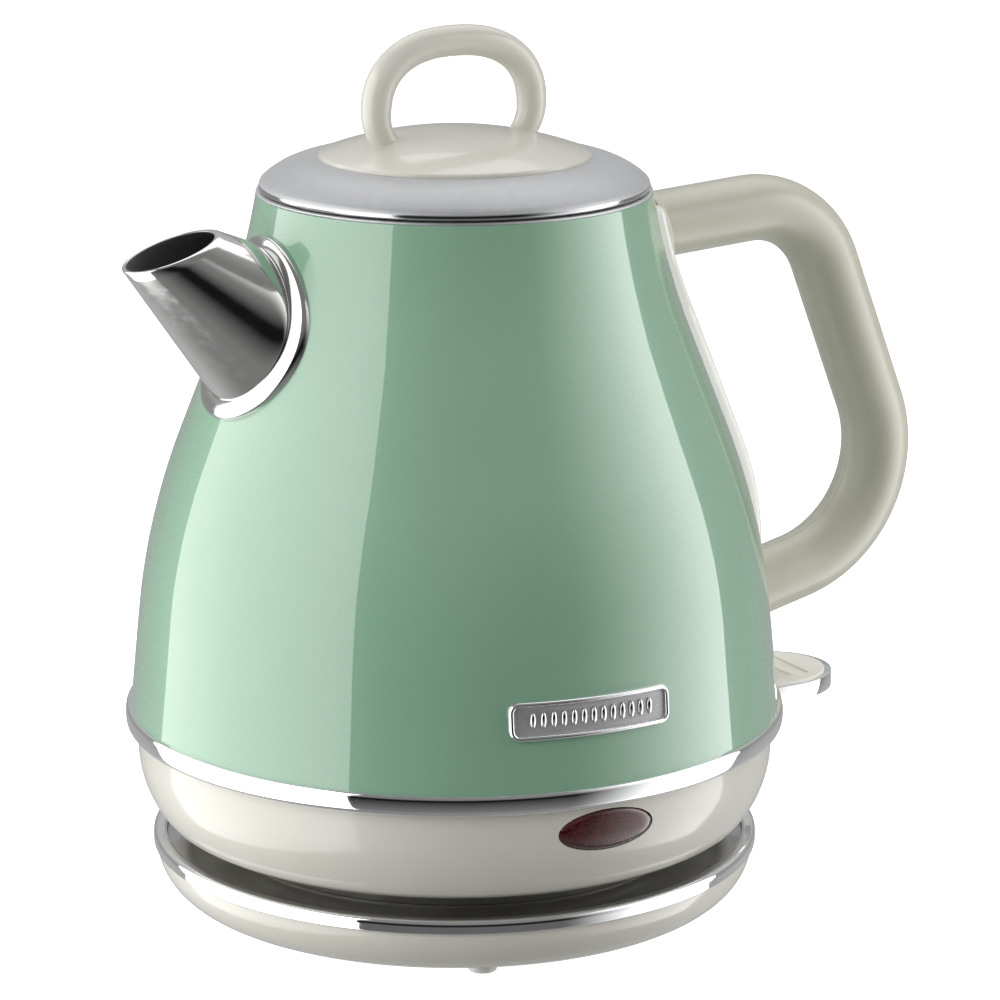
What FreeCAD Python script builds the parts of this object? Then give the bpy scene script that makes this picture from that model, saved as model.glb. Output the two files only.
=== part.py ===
import FreeCAD, Part
import math
import os
import re
import Sketcher
from FreeCAD import Vector

# Cordless electric kettle on a power base. Millimetres. The vertical axis of the vessel is Z, the base stands
# on Z = 0, the spout points to -X, the handle to +X, and the indicator lens faces -Y.

doc = FreeCAD.newDocument("kettle")
dims = doc.addObject("Spreadsheet::Sheet", "dims")

sizes = {
    # vessel
    "shell_base_r": 84, "shell_base_z": 51.2, "shell_cone_r": 81.6, "shell_cone_z": 75.2,
    "shell_waist_r": 70, "shell_waist_z": 123.2, "shell_neck_r": 61, "shell_neck_z": 146.2,
    "shell_top_r": 50.2, "shell_top_z": 184, "belly_arc_r": 178.6, "neck_arc_r": 184.4, "wall": 1,
    "neck_bore_r": 45.2, "neck_ring_z": 177, "neck_lip": 0.6,
    "floor_r": 82.3, "floor_z": 55, "floor_thick": 1.2, "floor_skirt": 2.8, "floor_skirt_wall": 1.2,
    # heater and control
    "plate_r": 60, "plate_thick": 3, "element_ring_r": 45, "element_tube_r": 3.5, "element_sweep": 310,
    "control_r": 23.5, "control_z": 37.4, "control_top_z": 46, "disc_r": 9, "disc_offset": 12,
    "disc_thick": 0.8,
    # chrome band and lower housing
    "band_z": 46.2, "band_inner_r": 80.4, "band_edge_r": 85, "band_arc_r": 5.5,
    "housing_top_r": 82.4, "housing_bend_z": 40.5, "housing_mid_r": 77.3, "housing_mid_z": 24.3,
    "housing_foot_r": 70.5, "housing_foot_z": 20.8, "housing_large_arc": 28.2, "housing_small_arc": 8.3,
    "housing_wall": 2, "housing_lean": 35,
    "cover_thick": 2, "cover_bore_r": 20.4, "cover_collar_r": 22.4, "cover_collar_z": 37,
    "track_foot_inner": 53, "track_foot_outer": 58, "track_foot_z": 17.4,
    # cordless connector, kettle side
    "cup_r": 20.1, "cup_inner_r": 18.3, "cup_z": 21, "cup_roof_z": 34, "cup_top_z": 36.8,
    "tongue_inner": 10.3, "tongue_outer": 12.7, "tongue_z": 19.5, "pin_r": 2.9, "pin_z": 18,
    # base unit
    "base_outer_r": 78, "base_top_z": 13.8, "base_foot_r": 70, "base_foot_z": 1.8, "base_arc_r": 13,
    "base_rim_inner": 72, "base_wall_r": 62, "base_skin": 2.4, "deck_r": 75.3, "deck_thick": 1.8,
    "track_inner": 52,
    "track_outer": 61, "track_z": 17, "ring_outer_r": 78.8, "ring_top_z": 17.2, "ring_round": 0.9,
    "pillar_r": 17.5, "pillar_top_z": 32, "pillar_flange_r": 20, "groove_inner": 9.4, "groove_outer": 13.6,
    "groove_z": 17, "bore_r": 4.2, "bore_z": 15, "contact_wall": 0.5, "contact_low_z": 18,
    "contact_high_z": 29, "lower_cover_z": 3, "lower_cover_thick": 2, "hub_r": 24, "hub_z": 0.2,
    "foot_r": 3.6, "foot_ring_r": 66, "foot_turn": -112,
    "screw_head_r": 2.8, "screw_head_height": 1.2, "screw_shank_r": 1.4, "screw_length": 8,
    "base_screw_ring": 50, "cover_screw_ring": 40, "boss_r": 3.4, "terminal_wide": 16,
    "terminal_deep": 12,
    "gland_r": 5, "gland_bore_r": 3.5, "gland_length": 10.4, "gland_start": 67.6, "gland_z": 8.4,
    # lid
    "lid_rim_r": 49.5, "lid_rim_z": 184.9, "lid_edge_arc": 0.8, "lid_bend_r": 48.8, "lid_bend_z": 187.4,
    "lid_bend_arc": 2.5, "lid_shoulder_arc": 21, "lid_crown_z": 192.8, "lid_rise": 6.3, "lid_sheet": 1.2,
    "cap_r": 34.5, "cap_thick": 0.9, "loop_tube_r": 3.9, "loop_foot_x": 17.8, "loop_foot_z": 195.5,
    "loop_knee_x": 21.9, "loop_knee_z": 205.5, "loop_crown_x": 22.2, "loop_crown_z": 222,
    "loop_knee_arc": 20, "loop_crown_arc": 15.5,
    "liner_r": 42.4, "liner_wall": 1.6, "liner_low_z": 174.5, "gasket_r": 44.8, "gasket_low_z": 178.5,
    "gasket_high_z": 181.5, "lid_screw_r": 1.5, "lid_screw_head_r": 3, "lid_screw_head_height": 1.8,
    "lid_screw_x": 18, "lid_screw_seat_z": 195.2, "lid_screw_length": 5,
    # spout: a cone that tapers from the vessel to the mouth
    "spout_apex_x": -108.8, "spout_apex_z": 196.3, "spout_tilt": 37.9, "spout_half_angle": 16.5,
    "spout_near": 26, "spout_far": 80, "spout_wall": 1.2, "mouth_low_x": -91, "mouth_low_z": 171.4,
    "mouth_high_x": -66.3, "mouth_high_z": 179.6,
    "collar_x": -58.3, "collar_z": 154, "collar_tilt": 21, "collar_r": 23.4, "collar_proud": 2.2,
    "collar_near": -25, "collar_long": 50, "port_near": 45, "bore_near": 40,
    # filter behind the spout
    "filter_r": 20.5, "filter_frame": 2.2, "filter_gap": 0.4, "filter_depth": 1.8, "mesh_thick": 0.5,
    # handle
    "grip_thick": 17.4, "grip_wide": 20, "grip_wall": 2.4, "grip_root_x": 50, "grip_root_z": 169.5,
    "grip_corner_x": 104.8, "grip_corner_z": 173.5, "grip_corner_arc": 25, "grip_elbow_x": 140.8,
    "grip_elbow_z": 81.6, "grip_elbow_arc": 33, "grip_end_x": 76, "grip_end_z": 65.4,
    "oval_tall": 20.4, "oval_wide": 23, "oval_thick": 1.6, "oval_z": 170.4, "seam_gap": 0.05,
    "stud_r": 2.5, "stud_length": 13, "stud_high_z": 170, "stud_low_z": 68.5,
    # steam duct cover down the back of the vessel
    "duct_wide": 27, "duct_wall": 1.4, "duct_top_z": 177, "duct_low_r": 87.2, "duct_bend_r": 86.8,
    "duct_bend_z": 84, "duct_knee_r": 80.6, "duct_knee_z": 113, "duct_neck_r": 62.2, "duct_neck_z": 156,
    "duct_top_r": 54.6, "duct_bend_arc": 77.7, "duct_neck_arc": 119, "steam_hole_r": 3.5,
    "steam_hole_z": 158, "wire_hole_r": 1.2, "wire_hole_z": 53.3,
    # switch
    "paddle_root_x": 79, "paddle_centre_x": 95, "paddle_half_wide": 17, "paddle_reach": 19,
    "paddle_top_z": 44.6,
    "paddle_thick": 4.2, "pad_inset": 2, "pad_proud": 0.5, "pad_depth": 1.6, "pivot_x": 74, "pivot_z": 41.8,
    "pivot_r": 1.2, "pivot_gap": 0.05, "hub_outer_r": 2.8, "hub_half_wide": 17.4, "cradle_thick": 3,
    "cradle_height": 8, "side_gap": 0.3, "lever_tail_x": 65, "slot_gap": 0.7, "slot_low_z": 37.2,
    "rocker_x": 54, "rocker_reach": 8, "rocker_half_wide": 6, "rocker_thick": 2.4, "rocker_z": 40.6,
    "rocker_stand_wide": 2.5, "rocker_stand_deep": 6, "rocker_cap": 2.5, "tail_half": 1.2,
    # indicator and badge
    "lens_turn": -91, "lens_z": 39.2, "lens_wide": 26, "lens_tall": 10.4, "lens_proud": 0.7,
    "lamp_r": 2.4, "lamp_length": 12, "lamp_centre_r": 74,
    "badge_turn": -94, "badge_z": 69, "badge_wide": 43, "badge_tall": 9.6, "badge_rim": 1.3,
    "badge_corner": 2.6, "badge_rim_proud": 1.6, "badge_proud": 0.9,
    # clearance of cutting tools and small corners
    "reach": 160, "tool_extra": 4, "corner_cut": 1, "steam_start_x": 40, "wire_start_x": 65, "hole_long": 30,
    "duct_start_x": 20, "stud_high_x": 50, "stud_low_x": 81.3,
}

for row, (name, amount) in enumerate(sizes.items(), 1):
    dims.set("A%d" % row, name)
    dims.set("B%d" % row, str(amount))
    dims.setAlias("B%d" % row, name)
doc.recompute()

alias = re.compile(r"[a-z]+(?:_[a-z]+)+|wall|reach")
nodes = []


def bound(formula):
    """A formula in sheet words, as an expression that reads the sheet."""
    return alias.sub(lambda word: "dims." + word.group(), formula)


def value(formula):
    amount = dims.evalExpression(bound(formula))
    return float(getattr(amount, "Value", amount))


def bind(thing, **formulas):
    """Tie each property to the sheet; a dot in a property's name is written as two underscores."""
    for name, formula in formulas.items():
        thing.setExpression(name.replace("__", "."), bound(formula))
    return thing


def keep(thing, label):
    thing.Label = label
    nodes.append(thing)
    return thing


def sketch_on(body, role):
    plane = next(item for item in body.Origin.OriginFeatures if item.Role == role)
    sketch = body.newObject("Sketcher::SketchObject", body.Name + "_sketch")
    sketch.AttachmentSupport = (plane, "")
    sketch.MapMode = "FlatFace"
    return sketch


def fix_point(sketch, edge, end, across, up):
    """Hold one end of an edge at a place given by two formulas."""
    for kind, formula, axis in (("DistanceX", across, -2), ("DistanceY", up, -1)):
        if formula == "0":
            sketch.addConstraint(Sketcher.Constraint("PointOnObject", edge, end, axis))
            continue
        rule = Sketcher.Constraint(kind, -1, 1, edge, end, value(formula))
        number = sketch.addConstraint(rule)
        sketch.setExpression("Constraints[%d]" % number, bound(formula))


def draw(sketch, outline):
    """A closed outline. Each point is (across, up) or (across, up, radius of the arc that arrives there);
    the radius is positive where the arc turns left and negative where it turns right."""
    ends = []
    count = len(outline)
    for index in range(count):
        here, there = outline[index], outline[(index + 1) % count]
        start = Vector(value(here[0]), value(here[1]), 0)
        stop = Vector(value(there[0]), value(there[1]), 0)
        if len(there) == 2:
            edge = sketch.addGeometry(Part.LineSegment(start, stop))
            ends.append((edge, 1, 2))
            continue
        radius = value(there[2])
        chord = stop - start
        left = Vector(-chord.y, chord.x, 0).normalize()
        rise = math.sqrt(radius ** 2 - (chord.Length / 2) ** 2)
        centre = (start + stop) * 0.5 + left * math.copysign(rise, radius)
        first, last = (start, stop) if radius > 0 else (stop, start)
        angles = [math.atan2(spot.y - centre.y, spot.x - centre.x) for spot in (first, last)]
        circle = Part.Circle(centre, Vector(0, 0, 1), abs(radius))
        edge = sketch.addGeometry(Part.ArcOfCircle(circle, *angles))
        number = sketch.addConstraint(Sketcher.Constraint("Radius", edge, abs(radius)))
        sketch.setExpression("Constraints[%d]" % number, bound("abs(%s)" % there[2]))
        ends.append((edge, 1, 2) if radius > 0 else (edge, 2, 1))
    for index in range(count):
        edge, first, last = ends[index]
        follower, follower_first, unused = ends[(index + 1) % count]
        sketch.addConstraint(Sketcher.Constraint("Coincident", edge, last, follower, follower_first))
        fix_point(sketch, edge, first, outline[index][0], outline[index][1])


def turned(name, *outlines):
    """A body made by revolving closed outlines, drawn as (radius, height), about the vessel's axis."""
    body = doc.addObject("PartDesign::Body", name)
    sketch = sketch_on(body, "XZ_Plane")
    for outline in outlines:
        draw(sketch, outline)
    spin = body.newObject("PartDesign::Revolution", name + "_turn")
    spin.Profile = sketch
    spin.ReferenceAxis = (sketch, ["V_Axis"])
    spin.Angle = 360
    body.Tip = spin
    return body


def ring(name, inner, outer, low, high):
    return turned(name, [(inner, low), (outer, low), (outer, high), (inner, high)])


def boolean(kind, name, base, *tools):
    """Part::Cut or Part::Common of a base with one or more tools."""
    tool = tools[0]
    if len(tools) > 1:
        tool = doc.addObject("Part::MultiFuse", name + "_tools")
        tool.Shapes = list(tools)
    result = doc.addObject("Part::" + kind, name)
    result.Base = base
    result.Tool = tool
    return result


def joined(name, *shapes):
    result = doc.addObject("Part::MultiFuse", name)
    result.Shapes = list(shapes)
    return result


def group(name, *shapes):
    result = doc.addObject("Part::Compound", name)
    result.Links = list(shapes)
    return result


def rod(name, radius, length, spot, turn=None):
    """A cylinder that starts at a spot; turn swings it from +Z to another direction."""
    item = doc.addObject("Part::Cylinder", name)
    if turn is not None:
        item.Placement = FreeCAD.Placement(Vector(), turn)
    return bind(item, Radius=radius, Height=length, Placement__Base__x=spot[0],
                Placement__Base__y=spot[1], Placement__Base__z=spot[2])


def block(name, low, high):
    """A box between two corners."""
    item = doc.addObject("Part::Box", name)
    spans = ["(%s) - (%s)" % (high[axis], low[axis]) for axis in range(3)]
    return bind(item, Length=spans[0], Width=spans[1], Height=spans[2], Placement__Base__x=low[0],
                Placement__Base__y=low[1], Placement__Base__z=low[2])


to_back = FreeCAD.Rotation(Vector(1, 0, 0), -90)
to_handle = FreeCAD.Rotation(Vector(0, 1, 0), 90)


def screws(name, ring_radius, underside, count, first_turn):
    """Round-head screws, heads down, on a ring."""
    made = []
    for index in range(count):
        angle = "%s + %g" % (first_turn, index * 360 / count)
        spot = ["%s * cos(%s)" % (ring_radius, angle), "%s * sin(%s)" % (ring_radius, angle)]
        tag = "%s_%d" % (name, index)
        head = rod(tag + "_head", "screw_head_r", "screw_head_height",
                   (*spot, "%s - screw_head_height" % underside))
        shank = rod(tag + "_shank", "screw_shank_r", "screw_length", (*spot, underside))
        made.append(joined(tag, head, shank))
    return group(name, *made)


def shell_line(offset="0"):
    """The vessel's outer line from the band up to the lid, moved outwards by an offset."""
    return [
        ("shell_base_r + %s" % offset, "shell_base_z"),
        ("shell_cone_r + %s" % offset, "shell_cone_z"),
        ("shell_waist_r + %s" % offset, "shell_waist_z", "belly_arc_r + %s" % offset),
        ("shell_neck_r + %s" % offset, "shell_neck_z"),
        ("shell_top_r + %s" % offset, "shell_top_z", "-neck_arc_r"),
    ]


def reversed_line(line):
    """The same line walked the other way, so each arc arrives at its other end and turns the other way."""
    back = [line[-1][:2]]
    for index in range(len(line) - 1, 0, -1):
        point = line[index - 1][:2]
        if len(line[index]) == 3:
            radius = line[index][2]
            back.append((*point, "-(%s)" % radius))
        else:
            back.append(point)
    return back


def shell_solid(name, offset="0"):
    """The vessel as a filled solid, for trimming other pieces to its surface."""
    return turned(name, [("0", "shell_base_z"), *shell_line(offset), ("0", "shell_top_z")])


def shell_skin(name, inner, outer):
    """A layer that follows the vessel between two offsets."""
    return turned(name, [*shell_line(outer), *reversed_line(shell_line(inner))])


def duct_line(offset="0"):
    """The outer line of the steam duct down the back of the vessel, moved outwards by an offset."""
    return [
        ("duct_low_r + (%s)" % offset, "shell_base_z"),
        ("duct_bend_r + (%s)" % offset, "duct_bend_z"),
        ("duct_knee_r + (%s)" % offset, "duct_knee_z", "duct_bend_arc + (%s)" % offset),
        ("duct_neck_r + (%s)" % offset, "duct_neck_z"),
        ("duct_top_r + (%s)" % offset, "shell_top_z", "-(duct_neck_arc - (%s))" % offset),
    ]


def duct_solid(name, offset="0"):
    return turned(name, [("0", "shell_base_z"), *duct_line(offset), ("0", "shell_top_z")])


def housing_line(offset="0"):
    """The lower housing's outer line from its foot up to the chrome band, moved outwards by an offset."""
    lean = "(%s) * cos(housing_lean)" % offset
    dip = "(%s) * sin(housing_lean)" % offset
    return [
        ("housing_foot_r", "housing_foot_z - (%s)" % offset),
        ("housing_mid_r + " + lean, "housing_mid_z - " + dip, "housing_small_arc + (%s)" % offset),
        ("housing_top_r + (%s)" % offset, "housing_bend_z", "housing_large_arc + (%s)" % offset),
        ("housing_top_r + (%s)" % offset, "band_z"),
    ]


def housing_skin(name, inner, outer):
    return turned(name, [*housing_line(outer), *reversed_line(housing_line(inner))])


# base unit
base_ring = turned("base_shell_ring", [
    ("base_wall_r", "base_foot_z"), ("base_foot_r", "base_foot_z"),
    ("base_outer_r", "base_top_z", "base_arc_r"), ("base_rim_inner", "base_top_z"),
    ("base_rim_inner", "base_top_z - wall"), ("base_outer_r - base_skin", "base_top_z - wall"),
    ("base_foot_r - corner_cut", "base_foot_z + base_skin", "-(base_arc_r - corner_cut)"),
    ("base_wall_r", "base_foot_z + base_skin"),
])
gland_spot = ("0", "gland_start", "gland_z")
gland_hole = rod("gland_hole", "gland_r", "gland_length + tool_extra", gland_spot, to_back)
keep(boolean("Cut", "base_shell_cut", base_ring, gland_hole), "base_shell")
keep(boolean("Cut", "gland_cut", rod("gland_tube", "gland_r", "gland_length", gland_spot, to_back),
             rod("gland_bore", "gland_bore_r", "gland_length + 2 * corner_cut",
                 ("0", "gland_start - corner_cut", "gland_z"),
                 to_back)), "cord_gland")
keep(turned("chrome_ring", [
    ("deck_r", "base_top_z"), ("ring_outer_r", "base_top_z"), ("ring_outer_r", "ring_top_z - ring_round"),
    ("ring_outer_r - ring_round", "ring_top_z", "ring_round * 1.01"), ("deck_r + corner_cut", "ring_top_z"),
    ("deck_r", "ring_top_z - corner_cut"),
]), "base_chrome_ring")
deck = turned("deck", [
    ("pillar_r", "base_top_z"), ("deck_r", "base_top_z"), ("deck_r", "base_top_z + deck_thick"),
    ("track_outer + corner_cut", "base_top_z + deck_thick"), ("track_outer", "track_z"),
    ("track_inner", "track_z"),
    ("track_inner - corner_cut", "base_top_z + deck_thick"), ("pillar_r", "base_top_z + deck_thick"),
])
keep(turned("pillar", [
    ("0", "lower_cover_z + lower_cover_thick"), ("pillar_flange_r", "lower_cover_z + lower_cover_thick"),
    ("pillar_flange_r", "base_top_z"), ("pillar_r", "base_top_z"), ("pillar_r", "pillar_top_z - corner_cut"),
    ("pillar_r - corner_cut", "pillar_top_z"), ("groove_outer", "pillar_top_z"), ("groove_outer", "groove_z"),
    ("groove_inner", "groove_z"), ("groove_inner", "pillar_top_z"), ("bore_r", "pillar_top_z"),
    ("bore_r", "bore_z"), ("0", "bore_z"),
]), "base_connector")
contact_sleeves = [("bore_r - contact_wall", "bore_r"), ("groove_inner", "groove_inner + contact_wall"),
                   ("groove_outer - contact_wall", "groove_outer")]
keep(turned("contacts", *[
    [(inner, "contact_low_z"), (outer, "contact_low_z"), (outer, "contact_high_z"), (inner, "contact_high_z")]
    for inner, outer in contact_sleeves]), "base_contacts")
base_screws = screws("base_screw", "base_screw_ring", "lower_cover_z", 4, "foot_turn + 45")
bosses = []
for index in range(4):
    angle = "foot_turn + 45 + %d" % (index * 90)
    spot = ("base_screw_ring * cos(%s)" % angle, "base_screw_ring * sin(%s)" % angle,
            "lower_cover_z + lower_cover_thick")
    bosses.append(rod("boss_%d" % index, "boss_r", "base_top_z - lower_cover_z - lower_cover_thick", spot))
keep(boolean("Cut", "deck_cut", joined("deck_with_bosses", deck, *bosses), base_screws), "base_deck")
keep(block("terminals", ("-terminal_wide / 2", "gland_start - tool_extra - terminal_deep",
                         "lower_cover_z + lower_cover_thick"),
           ("terminal_wide / 2", "gland_start - tool_extra", "base_top_z - 2")), "terminal_block")
lower_cover = turned("lower_cover", [
    ("0", "hub_z"), ("hub_r", "hub_z"), ("hub_r", "lower_cover_z"), ("base_wall_r", "lower_cover_z"),
    ("base_wall_r", "lower_cover_z + lower_cover_thick"), ("0", "lower_cover_z + lower_cover_thick"),
])
keep(boolean("Cut", "lower_cover_cut", lower_cover, base_screws), "base_bottom_cover")
keep(base_screws, "base_screws")
feet = []
for index in range(4):
    angle = "foot_turn + %d" % (index * 90)
    spot = ("foot_ring_r * cos(%s)" % angle, "foot_ring_r * sin(%s)" % angle, "0")
    feet.append(rod("foot_%d" % index, "foot_r", "base_foot_z", spot))
keep(group("feet", *feet), "base_feet")

# cordless connector, kettle side
keep(turned("cup", [
    ("cup_inner_r", "cup_z"), ("cup_r", "cup_z"), ("cup_r", "cup_top_z"), ("0", "cup_top_z"),
    ("0", "cup_roof_z"), ("tongue_inner", "cup_roof_z"), ("tongue_inner", "tongue_z"),
    ("tongue_outer", "tongue_z"), ("tongue_outer", "cup_roof_z"), ("cup_inner_r", "cup_roof_z"),
]), "kettle_connector")
keep(turned("pin", [
    ("0", "pin_z"), ("pin_r - corner_cut", "pin_z"), ("pin_r", "pin_z + 1.5"), ("pin_r", "cup_roof_z"),
    ("0", "cup_roof_z"),
]), "connector_pin")

# spout cone and collar tools
apex = Vector(value("spout_apex_x"), 0, value("spout_apex_z"))
spout_turn = FreeCAD.Rotation(Vector(0, 1, 0), 90 + value("spout_tilt"))


def spout_cone(name, near, far, thinner="0"):
    """A stretch of the spout's cone between two distances from its apex, thinned by a wall."""
    cone = doc.addObject("Part::Cone", name)
    cone.Placement = FreeCAD.Placement(Vector(), spout_turn)
    trim = "(%s) / cos(spout_half_angle)" % thinner
    return bind(cone, Radius1="(%s) * tan(spout_half_angle) - %s" % (near, trim),
                Radius2="(%s) * tan(spout_half_angle) - %s" % (far, trim),
                Height="(%s) - (%s)" % (far, near),
                Placement__Base__x="spout_apex_x + (%s) * cos(spout_tilt)" % near,
                Placement__Base__z="spout_apex_z - (%s) * sin(spout_tilt)" % near)


def collar_rod(name, radius, start, length):
    """A cylinder square to the vessel's wall at the spout."""
    item = doc.addObject("Part::Cylinder", name)
    item.Placement = FreeCAD.Placement(Vector(), FreeCAD.Rotation(Vector(0, 1, 0), 90 + value("collar_tilt")))
    return bind(item, Radius=radius, Height=length,
                Placement__Base__x="collar_x + (%s) * cos(collar_tilt)" % start,
                Placement__Base__z="collar_z - (%s) * sin(collar_tilt)" % start)


# vessel
shell_wall = turned("shell_wall", [*shell_line(), ("neck_bore_r + 3.9", "shell_top_z"),
                                   *reversed_line(shell_line("-wall"))[1:]])
spout_port = spout_cone("spout_port", "port_near", "spout_far", "spout_wall + corner_cut")
steam_hole = rod("steam_hole", "steam_hole_r", "hole_long", ("steam_start_x", "0", "steam_hole_z"), to_handle)
wire_hole = rod("wire_hole", "wire_hole_r", "hole_long", ("wire_start_x", "0", "wire_hole_z"), to_handle)
keep(boolean("Cut", "shell_cut", shell_wall, spout_port, steam_hole, wire_hole), "body_shell")
keep(turned("neck", [
    ("neck_bore_r", "neck_ring_z"), ("neck_bore_r + 3.8", "neck_ring_z + 5"),
    ("neck_bore_r + 3.8", "shell_top_z"), ("shell_top_r", "shell_top_z"),
    ("shell_top_r", "shell_top_z + neck_lip"), ("neck_bore_r", "shell_top_z + neck_lip"),
]), "neck_ring")
keep(turned("floor_pan", [
    ("floor_r - floor_skirt_wall", "floor_z - floor_skirt"), ("floor_r", "floor_z - floor_skirt"),
    ("floor_r", "floor_z + floor_thick"), ("0", "floor_z + floor_thick"), ("0", "floor_z"),
    ("floor_r - floor_skirt_wall", "floor_z"),
]), "vessel_floor")
keep(ring("heater_plate", "control_r - 20", "plate_r", "floor_z - plate_thick", "floor_z"), "heat_plate")
element = doc.addObject("Part::Torus", "element")
bind(element, Radius1="element_ring_r", Radius2="element_tube_r", Angle3="element_sweep",
     Placement__Base__z="floor_z - plate_thick - element_tube_r")
keep(element, "heating_element")
keep(rod("control", "control_r", "control_top_z - control_z", ("0", "0", "control_z")), "control_body")
discs = [rod("disc_%d" % side, "disc_r", "disc_thick", ("0", "disc_offset * %d" % side, "control_top_z"))
         for side in (-1, 1)]
keep(group("discs", *discs), "bimetal_discs")

# spout, collar and filter
mouth_low = Vector(value("mouth_low_x"), 0, value("mouth_low_z"))
mouth_high = Vector(value("mouth_high_x"), 0, value("mouth_high_z"))
mouth_slope = math.degrees(math.atan2(mouth_high.z - mouth_low.z, mouth_high.x - mouth_low.x))
mouth_knife = doc.addObject("Part::Box", "mouth_knife")
mouth_knife.Placement = FreeCAD.Placement(Vector(), FreeCAD.Rotation(Vector(0, 1, 0), -mouth_slope))
bind(mouth_knife, Length="reach", Width="reach", Height="reach",
     Placement__Base__x="mouth_low_x - reach / 4", Placement__Base__y="-reach / 2",
     Placement__Base__z="mouth_low_z - reach / 4 * (mouth_high_z - mouth_low_z)"
                        " / (mouth_high_x - mouth_low_x)")
keep(boolean("Cut", "spout_cut", spout_cone("spout_outside", "spout_near", "spout_far"),
             spout_cone("spout_inside", "spout_near - tool_extra", "spout_far + tool_extra", "spout_wall"),
             mouth_knife, shell_solid("spout_trim")), "spout")
collar_band = boolean("Common", "collar_band", shell_skin("collar_layer", "0", "collar_proud"),
                      collar_rod("collar_disc", "collar_r", "collar_near", "collar_long"))
keep(boolean("Cut", "collar_cut", collar_band,
             spout_cone("collar_bore", "bore_near", "spout_far + tool_extra")),
     "spout_collar")
frame_layer = shell_skin("filter_layer", "-wall - filter_gap - filter_depth", "-wall - filter_gap")
frame_disc = boolean("Common", "filter_disc", frame_layer,
                     collar_rod("filter_rod", "filter_r", "collar_near", "collar_long"))
keep(boolean("Cut", "filter_cut", frame_disc,
             collar_rod("filter_window", "filter_r - filter_frame", "collar_near - tool_extra",
                        "collar_long + 2 * tool_extra")), "filter_frame")
mesh_layer = shell_skin("mesh_layer", "-wall - filter_gap - filter_depth / 2 - mesh_thick / 2",
                        "-wall - filter_gap - filter_depth / 2 + mesh_thick / 2")
keep(boolean("Common", "mesh_disc", mesh_layer,
             collar_rod("mesh_rod", "filter_r - filter_frame", "collar_near", "collar_long")), "filter_mesh")

# chrome band and lower housing
keep(turned("band", [
    ("band_inner_r", "band_z"), ("band_edge_r", "band_z"), ("band_edge_r", "shell_base_z", "band_arc_r"),
    ("band_inner_r", "shell_base_z"),
]), "chrome_band")


def radial_prism(name, profile, turn):
    """A prism along a horizontal radius from a face drawn in the YZ plane."""
    item = doc.addObject("Part::Feature", name)
    item.Shape = profile.extrude(Vector(value("reach"), 0, 0))
    item.Placement = FreeCAD.Placement(Vector(), FreeCAD.Rotation(Vector(0, 0, 1), value(turn)))
    return item


def oval_face(wide, tall, height):
    """An upright oval face in the YZ plane, centred on the axis at a height."""
    half = [value(wide) / 2, value(tall) / 2]
    middle = Vector(0, 0, value(height))
    side, top = Vector(0, half[0], 0), Vector(0, 0, half[1])
    first, second = (side, top) if half[0] > half[1] else (top, side)
    return Part.Face(Part.Wire(Part.Ellipse(middle + first, middle + second, middle).toShape()))


def panel_face(wide, tall, corner, height):
    """A rectangle with round corners in the YZ plane."""
    across, up, bend = value(wide) / 2, value(tall) / 2, value(corner)
    diagonal = bend * (1 - math.sqrt(0.5))
    middle = value(height)
    edges = []
    corners = [(1, 1), (-1, 1), (-1, -1), (1, -1)]
    joints = []
    for y, z in corners:
        side = Vector(0, y * across, middle + z * (up - bend))
        peak = Vector(0, y * (across - bend), middle + z * up)
        mid = Vector(0, y * (across - diagonal), middle + z * (up - diagonal))
        start, stop = (side, peak) if y * z > 0 else (peak, side)
        edges.append(Part.Arc(start, mid, stop).toShape())
        joints.append((start, stop))
    for index in range(4):
        edges.append(Part.LineSegment(joints[index][1], joints[(index + 1) % 4][0]).toShape())
    return Part.Face(Part.Wire(Part.__sortEdges__(edges)))


housing_wall = housing_skin("housing_wall_ring", "-housing_wall", "0")
housing_room = turned("housing_room", [*housing_line("-housing_wall"), ("0", "band_z"),
                                       ("0", "housing_foot_z + housing_wall")])
lens_prism = radial_prism("lens_prism", oval_face("lens_wide", "lens_tall", "lens_z"), "lens_turn")
paddle_slot = block("paddle_slot", ("pivot_x - 4", "-paddle_half_wide - slot_gap", "slot_low_z"),
                    ("pivot_x + 30", "paddle_half_wide + slot_gap", "paddle_top_z + slot_gap"))
keep(boolean("Cut", "housing_cut", housing_wall, lens_prism, paddle_slot), "lower_housing")
keep(boolean("Common", "lens_cut", housing_skin("lens_layer", "-housing_wall", "lens_proud"), lens_prism),
     "indicator_lens")
lamp_turn = FreeCAD.Rotation(Vector(1, 0, 0), 90)
keep(rod("lamp", "lamp_r", "lamp_length",
         ("lamp_centre_r * cos(lens_turn)", "-lamp_centre_r + lamp_length / 2", "lens_z"), lamp_turn),
     "indicator_lamp")
cover_screws = screws("cover_screw", "cover_screw_ring", "housing_foot_z", 3, "90")
cover = turned("cover", [
    ("cover_bore_r", "housing_foot_z"), ("track_foot_inner", "housing_foot_z"),
    ("track_foot_inner", "track_foot_z"), ("track_foot_outer", "track_foot_z"),
    ("track_foot_outer", "housing_foot_z"), ("housing_foot_r", "housing_foot_z"),
    ("housing_foot_r", "housing_foot_z + cover_thick"), ("cover_collar_r", "housing_foot_z + cover_thick"),
    ("cover_collar_r", "cover_collar_z"), ("cover_bore_r", "cover_collar_z"),
])
keep(boolean("Cut", "cover_cut", cover, cover_screws), "bottom_cover")
keep(cover_screws, "bottom_cover_screws")

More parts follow.
